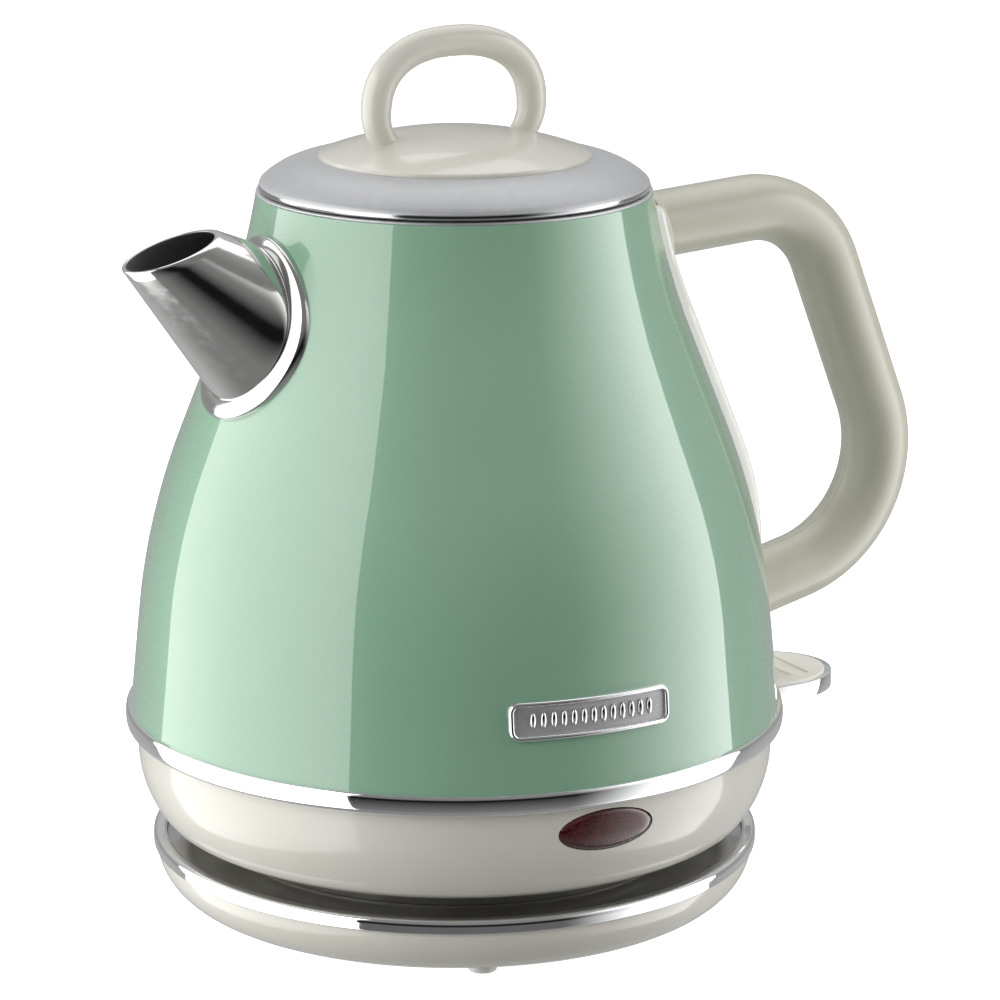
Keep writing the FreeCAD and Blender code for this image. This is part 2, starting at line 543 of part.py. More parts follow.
# badge
badge_prism = radial_prism("badge_prism", panel_face("badge_wide", "badge_tall", "badge_corner", "badge_z"),
                           "badge_turn")
badge_core = radial_prism("badge_core", panel_face("badge_wide - 2 * badge_rim", "badge_tall - 2 * badge_rim",
                                                   "badge_corner - badge_rim", "badge_z"), "badge_turn")
rim_layer = boolean("Common", "badge_rim_layer", shell_skin("badge_layer", "0", "badge_rim_proud"),
                    badge_prism)
keep(boolean("Cut", "badge_rim_cut", rim_layer, badge_core), "badge_frame")
keep(boolean("Common", "badge_plate_cut", shell_skin("badge_field", "0", "badge_proud"), badge_core),
     "badge_plate")

# handle
def rounded_path(corners, radii):
    """Straight runs in the XZ plane joined by tangent arcs at the inner corners."""
    spots = [Vector(value(x), 0, value(z)) for x, z in corners]
    edges = []
    start = spots[0]
    for index, radius in enumerate(radii, 1):
        before = (spots[index] - spots[index - 1]).normalize()
        after = (spots[index + 1] - spots[index]).normalize()
        turn = before.getAngle(after)
        cut_back = value(radius) * math.tan(turn / 2)
        first = spots[index] - before * cut_back
        last = spots[index] + after * cut_back
        inward = (after - before).normalize()
        middle = spots[index] + inward * (value(radius) / math.cos(turn / 2) - value(radius))
        edges.append(Part.LineSegment(start, first).toShape())
        edges.append(Part.Arc(first, middle, last).toShape())
        start = last
    edges.append(Part.LineSegment(start, spots[-1]).toShape())
    return Part.Wire(edges)


def oval_tube(path, thick, wide):
    """A solid that follows a path in the XZ plane with an oval section."""
    start = path.Vertexes[0].Point
    along = path.Edges[0].tangentAt(path.Edges[0].FirstParameter)
    upward = along.cross(Vector(0, 1, 0))
    across, up = Vector(0, wide / 2, 0), upward * (thick / 2)
    if wide == thick:
        curve = Part.Circle(start, along, thick / 2)
    elif wide > thick:
        curve = Part.Ellipse(start + across, start + up, start)
    else:
        curve = Part.Ellipse(start + up, start + across, start)
    return path.makePipeShell([Part.Wire(curve.toShape())], True, False)


grip_path = rounded_path(
    [("grip_root_x", "grip_root_z"), ("grip_corner_x", "grip_corner_z"), ("grip_elbow_x", "grip_elbow_z"),
     ("grip_end_x", "grip_end_z")], ["grip_corner_arc", "grip_elbow_arc"])
grip_tube = doc.addObject("Part::Feature", "grip_tube")
grip_solid = oval_tube(grip_path, value("grip_thick"), value("grip_wide"))
grip_core = oval_tube(grip_path, value("grip_thick - 2 * grip_wall"), value("grip_wide - 2 * grip_wall"))
grip_tube.Shape = grip_solid.cut(grip_core)
grip_trim = duct_solid("grip_trim")
oval_layer = turned("oval_layer", [*duct_line("oval_thick"), *reversed_line(duct_line())])
oval_prism = radial_prism("oval_prism", oval_face("oval_wide", "oval_tall", "oval_z"), "0 * lens_turn")
oval_disc = boolean("Common", "oval_disc", oval_layer, oval_prism)
for side, label in ((-1, "handle_left"), (1, "handle_right")):
    low, high = ("-reach", "-seam_gap / 2") if side < 0 else ("seam_gap / 2", "reach")
    half = block(label + "_half", ("0", low, "0"), ("reach", high, "reach * 2"))
    half_tube = boolean("Common", label + "_tube", grip_tube, half)
    keep(boolean("Cut", label + "_cut", half_tube, grip_trim, oval_disc), label)

duct_box = block("duct_box", ("duct_start_x", "-duct_wide / 2", "shell_base_z"),
                 ("reach", "duct_wide / 2", "duct_top_z"))
duct_room = block("duct_room", ("duct_start_x", "-duct_wide / 2 + duct_wall", "shell_base_z + duct_wall"),
                  ("reach", "duct_wide / 2 - duct_wall", "duct_top_z - duct_wall"))
duct_body = boolean("Common", "duct_body", duct_solid("duct_outside"), duct_box)
duct_core = boolean("Common", "duct_core", duct_solid("duct_inside", "-duct_wall"), duct_room)
studs = []
for tag, start, height in (("high", "stud_high_x", "stud_high_z"), ("low", "stud_low_x", "stud_low_z")):
    stud = rod("stud_" + tag, "stud_r", "stud_length + 1.5 * tool_extra", (start, "0", height), to_handle)
    studs.append(boolean("Cut", "stud_%s_cut" % tag, stud, shell_solid("stud_trim_" + tag)))
stud_group = group("studs", *studs)
keep(boolean("Cut", "duct_cut", duct_body, duct_core, stud_group, shell_solid("duct_trim")),
     "steam_duct_cover")
keep(stud_group, "handle_studs")
keep(boolean("Cut", "oval_holed", oval_disc, stud_group), "handle_plate")

# switch and trip rocker
def paddle_face(inset, height):
    """The paddle's plan: straight sides that end in a half oval."""
    half, reach = value("paddle_half_wide") - inset, value("paddle_reach") - inset
    middle, root = value("paddle_centre_x"), value("paddle_root_x") + inset
    nose = Part.Ellipse(Vector(middle + reach, 0, height), Vector(middle, half, height),
                        Vector(middle, 0, height)) if reach > half else \
        Part.Ellipse(Vector(middle, half, height), Vector(middle + reach, 0, height),
                     Vector(middle, 0, height))
    disc = Part.Face(Part.Wire(nose.toShape()))
    stem = Part.makePlane(middle - root, 2 * half, Vector(root, -half, height))
    return disc.fuse(stem).removeSplitter()


paddle = doc.addObject("Part::Feature", "paddle")
paddle_low = value("paddle_top_z - paddle_thick")
paddle_solid = paddle_face(0, paddle_low).extrude(Vector(0, 0, value("paddle_thick")))
pad_floor = value("paddle_top_z - pad_depth")
pad_hole = paddle_face(value("pad_inset"), pad_floor).extrude(Vector(0, 0, value("pad_depth")))
paddle.Shape = paddle_solid.cut(pad_hole)
lever_hub = rod("lever_hub", "hub_outer_r", "2 * hub_half_wide", ("pivot_x", "-hub_half_wide", "pivot_z"),
                to_back)
lever_tail = block("lever_tail", ("lever_tail_x", "-rocker_half_wide", "pivot_z - tail_half"),
                   ("pivot_x + 6", "rocker_half_wide", "pivot_z + tail_half"))
lever_bore = rod("lever_bore", "pivot_r + pivot_gap", "2 * reach", ("pivot_x", "-reach", "pivot_z"), to_back)
keep(boolean("Cut", "lever_cut", joined("lever_whole", paddle, lever_hub, lever_tail), lever_bore),
     "switch_lever")
pad = doc.addObject("Part::Feature", "pad")
pad.Shape = paddle_face(value("pad_inset"), pad_floor).extrude(
    Vector(0, 0, value("pad_depth + pad_proud")))
keep(pad, "switch_pad")
pivot_start = "-hub_half_wide - side_gap - cradle_thick"
pivot_length = "2 * (hub_half_wide + side_gap + cradle_thick)"
pivot_pin = rod("pivot_pin", "pivot_r", pivot_length, ("pivot_x", pivot_start, "pivot_z"), to_back)
keep(pivot_pin, "switch_pivot")
cheeks = []
for side, outer_first in ((-1, True), (1, False)):
    inner = "%d * (hub_half_wide + side_gap)" % side
    outer = "%d * (hub_half_wide + side_gap + cradle_thick)" % side
    low, high = (outer, inner) if outer_first else (inner, outer)
    cheek = block("cheek_%d" % side, ("pivot_x - 4", low, "pivot_z - cradle_height"),
                  ("pivot_x + 9", high, "pivot_z + 3.6"))
    fitted = boolean("Common", "cheek_fit_%d" % side, cheek, housing_room)
    cheeks.append(boolean("Cut", "cheek_cut_%d" % side, fitted, pivot_pin))
keep(group("cheeks", *cheeks), "switch_cradle")
rocker_bar = block("rocker_bar",
                   ("rocker_x - rocker_reach", "-rocker_half_wide", "rocker_z - rocker_thick / 2"),
                   ("rocker_x + rocker_reach", "rocker_half_wide", "rocker_z + rocker_thick / 2"))
rocker_hub = rod("rocker_hub", "hub_outer_r", "2 * rocker_half_wide",
                 ("rocker_x", "-rocker_half_wide", "rocker_z"), to_back)
rocker_bore = rod("rocker_bore", "pivot_r + pivot_gap", "reach", ("rocker_x", "-reach / 2", "rocker_z"),
                  to_back)
keep(boolean("Cut", "rocker_cut", joined("rocker_whole", rocker_bar, rocker_hub), rocker_bore), "trip_rocker")
rocker_pin = rod("rocker_pin_rod", "pivot_r", "2 * (rocker_half_wide + side_gap + rocker_stand_wide)",
                 ("rocker_x", "-rocker_half_wide - side_gap - rocker_stand_wide", "rocker_z"), to_back)
stands = []
for side in (-1, 1):
    middle = "%d * (rocker_half_wide + side_gap + rocker_stand_wide / 2)" % side
    low = ("rocker_x - rocker_stand_deep / 2", middle + " - rocker_stand_wide / 2",
           "housing_foot_z + cover_thick")
    high = ("rocker_x + rocker_stand_deep / 2", middle + " + rocker_stand_wide / 2", "rocker_z + rocker_cap")
    stands.append(block("stand_%d" % side, low, high))
keep(boolean("Cut", "stands_cut", group("stands", *stands), rocker_pin), "rocker_stand")
keep(rocker_pin, "rocker_pin")

# lid
lid_top = "(lid_crown_z + lid_rise)"
dome_arc = "((cap_r ^ 2 + lid_rise ^ 2) / (2 * lid_rise))"
dome_centre = "(%s - %s)" % (lid_top, dome_arc)


def dome_height(radius, offset="0"):
    """Height of the lid's dome, moved outwards by an offset, at a radius from the axis."""
    return "%s + sqrt((%s + %s) ^ 2 - (%s) ^ 2)" % (dome_centre, dome_arc, offset, radius)


lid_foot = "(lid_rim_r - 2 * lid_sheet)"
lid_screws = []
for side in (-1, 1):
    spot = "%d * lid_screw_x" % side
    head = rod("lid_head_%d" % side, "lid_screw_head_r", "lid_screw_head_height",
               (spot, "0", "lid_screw_seat_z - lid_screw_head_height"))
    shank = rod("lid_shank_%d" % side, "lid_screw_r", "lid_screw_length", (spot, "0", "lid_screw_seat_z"))
    lid_screws.append(joined("lid_screw_%d" % side, head, shank))
lid_screw_group = group("lid_screw_group", *lid_screws)
dome = turned("dome", [
    ("lid_rim_r - lid_edge_arc", "lid_rim_z"), ("lid_rim_r", "lid_rim_z + lid_edge_arc", "lid_edge_arc"),
    ("lid_bend_r", "lid_bend_z", "lid_bend_arc"), ("cap_r", "lid_crown_z", "lid_shoulder_arc"),
    ("0", lid_top, dome_arc), ("0", lid_top + " - lid_sheet"),
    ("cap_r", "lid_crown_z - lid_sheet", "-" + dome_arc), (lid_foot, "lid_rim_z", "-lid_shoulder_arc"),
])
keep(boolean("Cut", "dome_cut", dome, lid_screw_group), "lid_plate")
cap = turned("cap", [
    ("0", lid_top), ("cap_r", dome_height("cap_r"), "-" + dome_arc),
    ("cap_r", dome_height("cap_r", "cap_thick")), ("0", lid_top + " + cap_thick", dome_arc + " + cap_thick"),
])
keep(boolean("Cut", "cap_cut", cap, lid_screw_group), "lid_cap")
loop_path = rounded_path(
    [("-loop_foot_x", "loop_foot_z"), ("-loop_knee_x", "loop_knee_z"), ("-loop_crown_x", "loop_crown_z"),
     ("loop_crown_x", "loop_crown_z"), ("loop_knee_x", "loop_knee_z"), ("loop_foot_x", "loop_foot_z")],
    ["loop_knee_arc", "loop_crown_arc", "loop_crown_arc", "loop_knee_arc"])
loop_tube = doc.addObject("Part::Feature", "loop_tube")
loop_tube.Shape = oval_tube(loop_path, value("2 * loop_tube_r"), value("2 * loop_tube_r"))
loop_trim = turned("loop_trim", [
    ("0", "lid_rim_z"), ("cap_r", "lid_rim_z"), ("cap_r", dome_height("cap_r", "cap_thick")),
    ("0", lid_top + " + cap_thick", dome_arc + " + cap_thick"),
])
keep(boolean("Cut", "loop_cut", loop_tube, loop_trim, lid_screw_group), "lid_loop")
keep(lid_screw_group, "lid_screws")
liner = turned("liner", [
    ("cap_r", "liner_low_z"), ("liner_r", "liner_low_z"), ("liner_r", "lid_rim_z"), (lid_foot, "lid_rim_z"),
    ("cap_r", "lid_crown_z - lid_sheet", "lid_shoulder_arc"),
])
liner_bore = rod("liner_bore", "liner_r - liner_wall", "reach", ("0", "0", "liner_low_z - corner_cut"))
keep(boolean("Cut", "liner_cut", liner, liner_bore), "lid_liner")
keep(ring("gasket", "liner_r", "gasket_r", "gasket_low_z", "gasket_high_z"), "lid_gasket")

# checks and files
doc.recompute()
for item in doc.Objects:
    if "Invalid" in item.State or "Error" in item.State:
        raise RuntimeError("%s failed: %s" % (item.Name, item.State))
os.makedirs("parts", exist_ok=True)
for node in nodes:
    shape = node.Shape
    if shape.isNull() or not shape.isValid() or not shape.Solids:
        raise RuntimeError("%s has no sound shape" % node.Label)
    print("%-20s solids %d  volume %10.1f" % (node.Label, len(shape.Solids), shape.Volume))
    shape.exportStep("parts/%s.step" % node.Label)
print(len(nodes), "sub-parts written")
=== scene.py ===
import math

import bmesh
import bpy
from mathutils import Matrix, Vector


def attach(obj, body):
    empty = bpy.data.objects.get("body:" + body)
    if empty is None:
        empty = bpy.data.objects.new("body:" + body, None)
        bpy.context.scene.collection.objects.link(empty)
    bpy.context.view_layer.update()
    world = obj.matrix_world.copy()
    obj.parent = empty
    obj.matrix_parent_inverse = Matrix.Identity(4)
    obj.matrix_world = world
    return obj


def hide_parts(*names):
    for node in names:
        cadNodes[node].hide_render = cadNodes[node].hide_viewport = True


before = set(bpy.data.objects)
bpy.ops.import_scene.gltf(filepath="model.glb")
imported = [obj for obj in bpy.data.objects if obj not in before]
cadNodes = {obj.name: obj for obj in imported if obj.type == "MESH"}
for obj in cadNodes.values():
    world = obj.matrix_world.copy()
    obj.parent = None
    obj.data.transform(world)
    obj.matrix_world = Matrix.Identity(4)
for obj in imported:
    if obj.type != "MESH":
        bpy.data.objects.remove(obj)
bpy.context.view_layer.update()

mm = 0.001
scene = bpy.context.scene
print("frame loaded,", len(cadNodes), "nodes")

# the kettle stands on the floor, its spout points to -X, its handle to +X, its lamp to -Y


# helpers for outlines: every outline is across and up, in millimetres

cornerPieces = 7


def arcPoints(start, end, bend, step):
    chord = end - start
    side = Vector((chord.y, -chord.x)).normalized()
    if side.x < 0:
        side = -side
    side = side * math.copysign(1, bend)  # a plus bend bulges away from the axis
    reach = math.sqrt(max(bend * bend - chord.length_squared / 4, 0))
    centre = (start + end) / 2 - side * reach
    first = math.atan2(start.y - centre.y, start.x - centre.x)
    sweep = math.atan2(end.y - centre.y, end.x - centre.x) - first
    sweep = (sweep + math.pi) % (2 * math.pi) - math.pi
    count = max(3, math.ceil(abs(sweep * bend) / step), math.ceil(abs(sweep) / 0.2))
    turns = [first + sweep * index / count for index in range(1, count)]
    size = abs(bend)
    return [centre + Vector((math.cos(turn), math.sin(turn))) * size for turn in turns] + [end]


def softBend(start, corner, end, count):
    # a curve that leaves start and reaches end along the two lines through the corner
    return [start * (1 - share) ** 2 + corner * 2 * share * (1 - share) + end * share ** 2
            for share in [index / count for index in range(count + 1)]]


def softCorner(points, index, size):
    before, after = index, index
    left, right = size, size
    while before > 0 and (points[before] - points[before - 1]).length < left:
        left -= (points[before] - points[before - 1]).length
        before -= 1
    while after < len(points) - 1 and (points[after + 1] - points[after]).length < right:
        right -= (points[after + 1] - points[after]).length
        after += 1
    start, end = points[before], points[after]
    if before > 0:
        start = points[before] + (points[before - 1] - points[before]).normalized() * left
    if after < len(points) - 1:
        end = points[after] + (points[after + 1] - points[after]).normalized() * right
    return points[:before] + softBend(start, points[index], end, cornerPieces) + points[after + 1:]


def outline(steps, step=2.0, closed=True):
    # a step is (across, up), then the bend of an arc that ends there, then how soft its corner is
    points, corners = [Vector(steps[0][:2])], []
    rest = list(steps[1:]) + ([steps[0][:2]] if closed else [])
    for across, up, *extra in rest:
        bend = extra[0] if extra else 0
        soft = extra[1] if len(extra) > 1 else 0
        start, end = points[-1], Vector((across, up))
        if bend:
            points += arcPoints(start, end, bend, step)
        else:
            count = max(1, math.ceil((end - start).length / step))
            points += [start.lerp(end, index / count) for index in range(1, count + 1)]
        if soft:
            corners.append((len(points) - 1, soft))
    for index, soft in reversed(corners):
        points = softCorner(points, index, soft)
    return points


def turnsOf(count):
    return [2 * math.pi * index / count for index in range(count)]


# helpers for meshes and node trees

def addNode(tree, kind, inputs=None, **settings):
    made = tree.nodes.new(kind)
    for key, amount in settings.items():
        setattr(made, key, amount)
    for key, source in (inputs or {}).items():
        if isinstance(source, bpy.types.NodeSocket):
            tree.links.new(source, made.inputs[key])
        else:
            made.inputs[key].default_value = source
    return made


def mathOf(tree, operation, *amounts):
    return addNode(tree, "ShaderNodeMath", dict(enumerate(amounts)), operation=operation).outputs[0]


def newTree(name, *inputs):
    tree = bpy.data.node_groups.new(name, "GeometryNodeTree")
    tree.interface.new_socket("Geometry", in_out="INPUT", socket_type="NodeSocketGeometry")
    for label, kind in inputs:
        tree.interface.new_socket(label, in_out="INPUT", socket_type="NodeSocket" + kind)
    tree.interface.new_socket("Geometry", in_out="OUTPUT", socket_type="NodeSocketGeometry")
    return tree, tree.nodes.new("NodeGroupInput").outputs, tree.nodes.new("NodeGroupOutput")


def endTree(tree, geometry, given, out):
    real = addNode(tree, "GeometryNodeRealizeInstances", {"Geometry": geometry})
    done = addNode(tree, "GeometryNodeSetMaterial", {"Geometry": real.outputs[0],
                                                     "Material": given["Material"]})
    tree.links.new(done.outputs[0], out.inputs[0])
    return tree


def runTree(holder, tree, values):
    modifier = holder.modifiers.new(tree.name, "NODES")
    modifier.node_group = tree
    for item in tree.interface.items_tree:
        if item.in_out == "INPUT" and item.name in values:
            modifier[item.identifier] = values[item.name]
    depsgraph = bpy.context.evaluated_depsgraph_get()
    mesh = bpy.data.meshes.new_from_object(holder.evaluated_get(depsgraph), depsgraph=depsgraph)
    old = holder.data
    holder.modifiers.clear()
    holder.data = mesh
    bpy.data.meshes.remove(old)
    return holder


def newObject(name, mesh):
    made = bpy.data.objects.new(name, mesh)
    scene.collection.objects.link(made)
    return made


def meshFrom(name, points, faces, edges=()):
    mesh = bpy.data.meshes.new(name)
    mesh.from_pydata([tuple(point) for point in points], list(edges), faces)
    return newObject(name, mesh)


def applyAll(piece):
    depsgraph = bpy.context.evaluated_depsgraph_get()
    mesh = bpy.data.meshes.new_from_object(piece.evaluated_get(depsgraph), depsgraph=depsgraph)
    piece.modifiers.clear()
    piece.data = mesh


def cleanSurface(piece, angle=38):
    mesh = piece.data
    work = bmesh.new()
    work.from_mesh(mesh)
    bmesh.ops.remove_doubles(work, verts=work.verts, dist=2e-6)
    bmesh.ops.dissolve_degenerate(work, edges=work.edges, dist=1e-7)
    bmesh.ops.recalc_face_normals(work, faces=work.faces)
    work.to_mesh(mesh)
    work.free()
    for face in mesh.polygons:
        face.use_smooth = True
    mesh.set_sharp_from_angle(angle=math.radians(angle))
    return piece


def carve(piece, *cutters):
    for cutter in cutters:
        modifier = piece.modifiers.new("carve", "BOOLEAN")
        modifier.operation = "DIFFERENCE"
        modifier.solver = "EXACT"
        modifier.object = cutter
    applyAll(piece)
    for cutter in cutters:
        bpy.data.objects.remove(cutter)
    return piece


def finishPiece(piece, body, material, replaced=(), angle=38):
    cleanSurface(piece, angle)
    piece.data.materials.clear()
    piece.data.materials.append(material)
    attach(piece, body)
    if replaced:
        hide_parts(*replaced)
    return piece


def makeTurnTree():
    # a round piece: a grid whose every column is the outline, turned about the axis
    tree, given, out = newTree("turnOutline", ("Segments", "Int"), ("Material", "Material"))
    size = addNode(tree, "GeometryNodeAttributeDomainSize", {"Geometry": given["Geometry"]})
    rows = size.outputs["Point Count"]
    columns = mathOf(tree, "ADD", given["Segments"], 1.0)
    grid = addNode(tree, "GeometryNodeMeshGrid", {"Vertices X": columns, "Vertices Y": rows})
    index = addNode(tree, "GeometryNodeInputIndex").outputs[0]
    column = mathOf(tree, "FLOOR", mathOf(tree, "DIVIDE", index, rows))
    row = mathOf(tree, "MODULO", index, rows)
    place = addNode(tree, "GeometryNodeInputPosition")
    spot = addNode(tree, "GeometryNodeSampleIndex", {"Geometry": given["Geometry"],
                                                     "Value": place.outputs[0], "Index": row},
                   data_type="FLOAT_VECTOR", clamp=True)
    angle = mathOf(tree, "MULTIPLY", mathOf(tree, "DIVIDE", column, given["Segments"]), 2 * math.pi)
    turned = addNode(tree, "ShaderNodeVectorRotate", {"Vector": spot.outputs[0], "Angle": angle},
                     rotation_type="Z_AXIS")
    moved = addNode(tree, "GeometryNodeSetPosition", {"Geometry": grid.outputs[0],
                                                      "Position": turned.outputs[0]})
    welded = addNode(tree, "GeometryNodeMergeByDistance", {"Geometry": moved.outputs[0],
                                                           "Distance": 2e-6})
    smooth = addNode(tree, "GeometryNodeSetShadeSmooth", {"Geometry": welded.outputs[0]})
    return endTree(tree, smooth.outputs[0], given, out)


turnTree = makeTurnTree()


def turnedPiece(name, points, material, segments):
    spots = [(point.x * mm, 0, point.y * mm) for point in points]
    links = [(index, index + 1) for index in range(len(spots) - 1)]
    return runTree(meshFrom(name, spots, [], links), turnTree,
                   {"Segments": segments, "Material": material})


def ringStack(name, rings, closeRings=True, capEnds=False, loop=False):
    # faces between rings of points that all have the same count
    count = len(rings[0])
    points = [point * mm for ring in rings for point in ring]
    faces = []
    for level in range(len(rings) if loop else len(rings) - 1):
        below, above = level * count, (level + 1) % len(rings) * count
        for index in range(count if closeRings else count - 1):
            follow = (index + 1) % count
            faces.append((below + index, below + follow, above + follow, above + index))
    if capEnds:
        faces.append(tuple(range(count - 1, -1, -1)))
        faces.append(tuple(range((len(rings) - 1) * count, len(rings) * count)))
    return meshFrom(name, points, faces)


# materials

def startMaterial(name, **settings):
    material = bpy.data.materials.new(name)
    material.use_nodes = True
    tree = material.node_tree
    shader = tree.nodes["Principled BSDF"]
    for key, amount in settings.items():
        shader.inputs[key].default_value = amount
    coords = tree.nodes.new("ShaderNodeTexCoord").outputs["Object"]
    return material, tree, shader, coords


def noiseOf(tree, coords, scale, detail=2.0, stretch=None, rough=0.5):
    if stretch:
        coords = addNode(tree, "ShaderNodeMapping", {"Vector": coords, "Scale": stretch}).outputs[0]
    return addNode(tree, "ShaderNodeTexNoise", {"Vector": coords, "Scale": scale, "Detail": detail,
                                                "Roughness": rough}).outputs["Fac"]


def rangeOf(tree, source, low, high, fromLow=0.3, fromHigh=0.7):
    return addNode(tree, "ShaderNodeMapRange", {"Value": source, "From Min": fromLow, "From Max": fromHigh,
                                                "To Min": low, "To Max": high}).outputs[0]


def colourSockets(sockets):
    return [entry for entry in sockets if entry.type == "RGBA"]


def mixColour(tree, share, first, second):
    # each side is a fixed colour or another node's output
    made = addNode(tree, "ShaderNodeMix", data_type="RGBA")
    tree.links.new(share, made.inputs["Factor"])
    for socket, side in zip(colourSockets(made.inputs), (first, second)):
        if isinstance(side, bpy.types.NodeSocket):
            tree.links.new(side, socket)
        else:
            socket.default_value = (*side, 1)
    return colourSockets(made.outputs)[0]


def addBump(tree, shader, height, strength, distance, coat=False):
    bump = addNode(tree, "ShaderNodeBump", {"Height": height, "Strength": strength, "Distance": distance})
    tree.links.new(bump.outputs[0], shader.inputs["Normal"])
    if coat:
        tree.links.new(bump.outputs[0], shader.inputs["Coat Normal"])


def ringCoords(tree, coords):
    # coordinates round the axis: the distance from it, a little of the turn, the height
    parts = addNode(tree, "ShaderNodeSeparateXYZ", {"Vector": coords})
    flat = addNode(tree, "ShaderNodeCombineXYZ", {"X": parts.outputs["X"], "Y": parts.outputs["Y"]})
    away = addNode(tree, "ShaderNodeVectorMath", {0: flat.outputs[0]}, operation="LENGTH")
    turn = mathOf(tree, "ARCTAN2", parts.outputs["Y"], parts.outputs["X"])
    near = mathOf(tree, "MULTIPLY", turn, 0.004)
    return addNode(tree, "ShaderNodeCombineXYZ", {"X": away.outputs["Value"], "Y": near,
                                                  "Z": parts.outputs["Z"]}).outputs[0]


enamelLook = {"pale": (0.262, 0.455, 0.318), "deep": (0.236, 0.425, 0.290), "rough": 0.30, "coatRough": 0.018}
creamLook = {"pale": (0.68, 0.665, 0.60), "deep": (0.64, 0.62, 0.55), "rough": 0.26}


def makeEnamel(look):
    material, tree, shader, coords = startMaterial("mintEnamel", Metallic=0.0)
    shader.inputs["Coat Weight"].default_value = 1.0
    shader.inputs["Coat Roughness"].default_value = look["coatRough"]
    shader.inputs["Coat IOR"].default_value = 1.75
    shader.inputs["Specular IOR Level"].default_value = 0.35
    pearl = noiseOf(tree, coords, 5200, 1.0)
    cloud = noiseOf(tree, coords, 26, 3.0)
    both = mathOf(tree, "ADD", pearl, cloud)
    colour = mixColour(tree, rangeOf(tree, both, 0, 1, 0.7, 1.3), look["deep"], look["pale"])
    tree.links.new(colour, shader.inputs["Base Color"])
    tree.links.new(rangeOf(tree, pearl, look["rough"] - 0.06, look["rough"] + 0.08),
                   shader.inputs["Roughness"])
    peel = noiseOf(tree, coords, 210, 1.5)  # the slight waves of a stoved coat
    addBump(tree, shader, peel, 0.05, 0.00012, coat=True)
    return material


def makePlastic(name, pale, deep, rough, grain=2400, bump=0.05, coat=0.0, coatRough=0.08, level=0.5,
                spread=0.045):
    material, tree, shader, coords = startMaterial(name)
    shader.inputs["Coat Weight"].default_value = coat
    shader.inputs["Coat Roughness"].default_value = coatRough
    shader.inputs["Specular IOR Level"].default_value = level
    cloud = noiseOf(tree, coords, 34, 4.0)
    tree.links.new(mixColour(tree, rangeOf(tree, cloud, 0, 1), deep, pale), shader.inputs["Base Color"])
    fine = noiseOf(tree, coords, grain, 2.0)
    tree.links.new(rangeOf(tree, fine, rough - spread, rough + spread), shader.inputs["Roughness"])
    addBump(tree, shader, fine, bump, 0.00005)
    return material


def makeChrome(name, colour, dim, rough, smear=0.05, wave=0.02):
    material, tree, shader, coords = startMaterial(name, Metallic=1.0)
    cloud = noiseOf(tree, coords, 60, 4.0)
    tree.links.new(mixColour(tree, rangeOf(tree, cloud, 0, 1), dim, colour), shader.inputs["Base Color"])
    marks = noiseOf(tree, coords, 240, 5.0, stretch=(1, 1, 2.5), rough=0.65)
    tree.links.new(rangeOf(tree, marks, rough, rough + smear, 0.45, 0.8), shader.inputs["Roughness"])
    addBump(tree, shader, noiseOf(tree, coords, 120, 2.0), wave, 0.0002)
    return material


def makeSpoutSteel(look):
    # polished outside; inside the cone dull, and its dark colour there is painted shade
    material, tree, shader, coords = startMaterial("spoutSteel", Metallic=1.0)
    away = addNode(tree, "ShaderNodeVectorMath", {0: coords, 1: tuple(spoutApex * mm)}, operation="SUBTRACT")
    along = addNode(tree, "ShaderNodeVectorMath", {0: away.outputs[0], 1: tuple(spoutAxis)},
                    operation="DOT_PRODUCT").outputs["Value"]
    whole = addNode(tree, "ShaderNodeVectorMath", {0: away.outputs[0]}, operation="LENGTH").outputs["Value"]
    lean = mathOf(tree, "ARCCOSINE", mathOf(tree, "DIVIDE", along, whole))
    depth = mathOf(tree, "MULTIPLY", mathOf(tree, "SINE", lean), whole)  # how far from the cone's axis
    slope = mathOf(tree, "MULTIPLY", along, math.tan(math.radians(spoutSize["halfAngle"])))
    under = mathOf(tree, "SUBTRACT", slope, depth)
    paintedShadeInside = rangeOf(tree, under, 0, 1, look["skin"] * mm * 0.75, look["skin"] * mm * 0.95)
    cloud = noiseOf(tree, coords, 60, 4.0)
    polished = mixColour(tree, rangeOf(tree, cloud, 0, 1), look["dim"], look["colour"])
    # the cone's inner wall gets a near-black colour: painted shade for the dark inside of the spout
    tree.links.new(mixColour(tree, paintedShadeInside, polished, look["paintedShadeInside"]), shader.inputs["Base Color"])
    tree.links.new(rangeOf(tree, paintedShadeInside, 1.0, 0.15, 0, 1), shader.inputs["Metallic"])
    marks = noiseOf(tree, coords, 240, 5.0, stretch=(1, 1, 2.5), rough=0.65)
    outer = rangeOf(tree, marks, look["rough"], look["rough"] + 0.08, 0.45, 0.8)
    dull = mathOf(tree, "MULTIPLY", paintedShadeInside, 0.35)
    tree.links.new(mathOf(tree, "ADD", outer, dull), shader.inputs["Roughness"])
    addBump(tree, shader, noiseOf(tree, coords, 120, 2.0), 0.03, 0.0002)
    return material


def makeBrushed(name, colour, dim, rough, across, bump=0.25, around=False, depth=0.00003, metal=1.0):
    material, tree, shader, coords = startMaterial(name, Metallic=metal)
    if around:
        coords = ringCoords(tree, coords)
    lines = noiseOf(tree, coords, 900, 4.0, stretch=across, rough=0.7)
    broad = noiseOf(tree, coords, 120, 2.0, stretch=across)
    both = mathOf(tree, "ADD", lines, broad)
    tree.links.new(mixColour(tree, rangeOf(tree, both, 0, 1, 0.7, 1.3), dim, colour),
                   shader.inputs["Base Color"])
    tree.links.new(rangeOf(tree, lines, rough - 0.06, rough + 0.1), shader.inputs["Roughness"])
    addBump(tree, shader, lines, bump, depth)
    return material


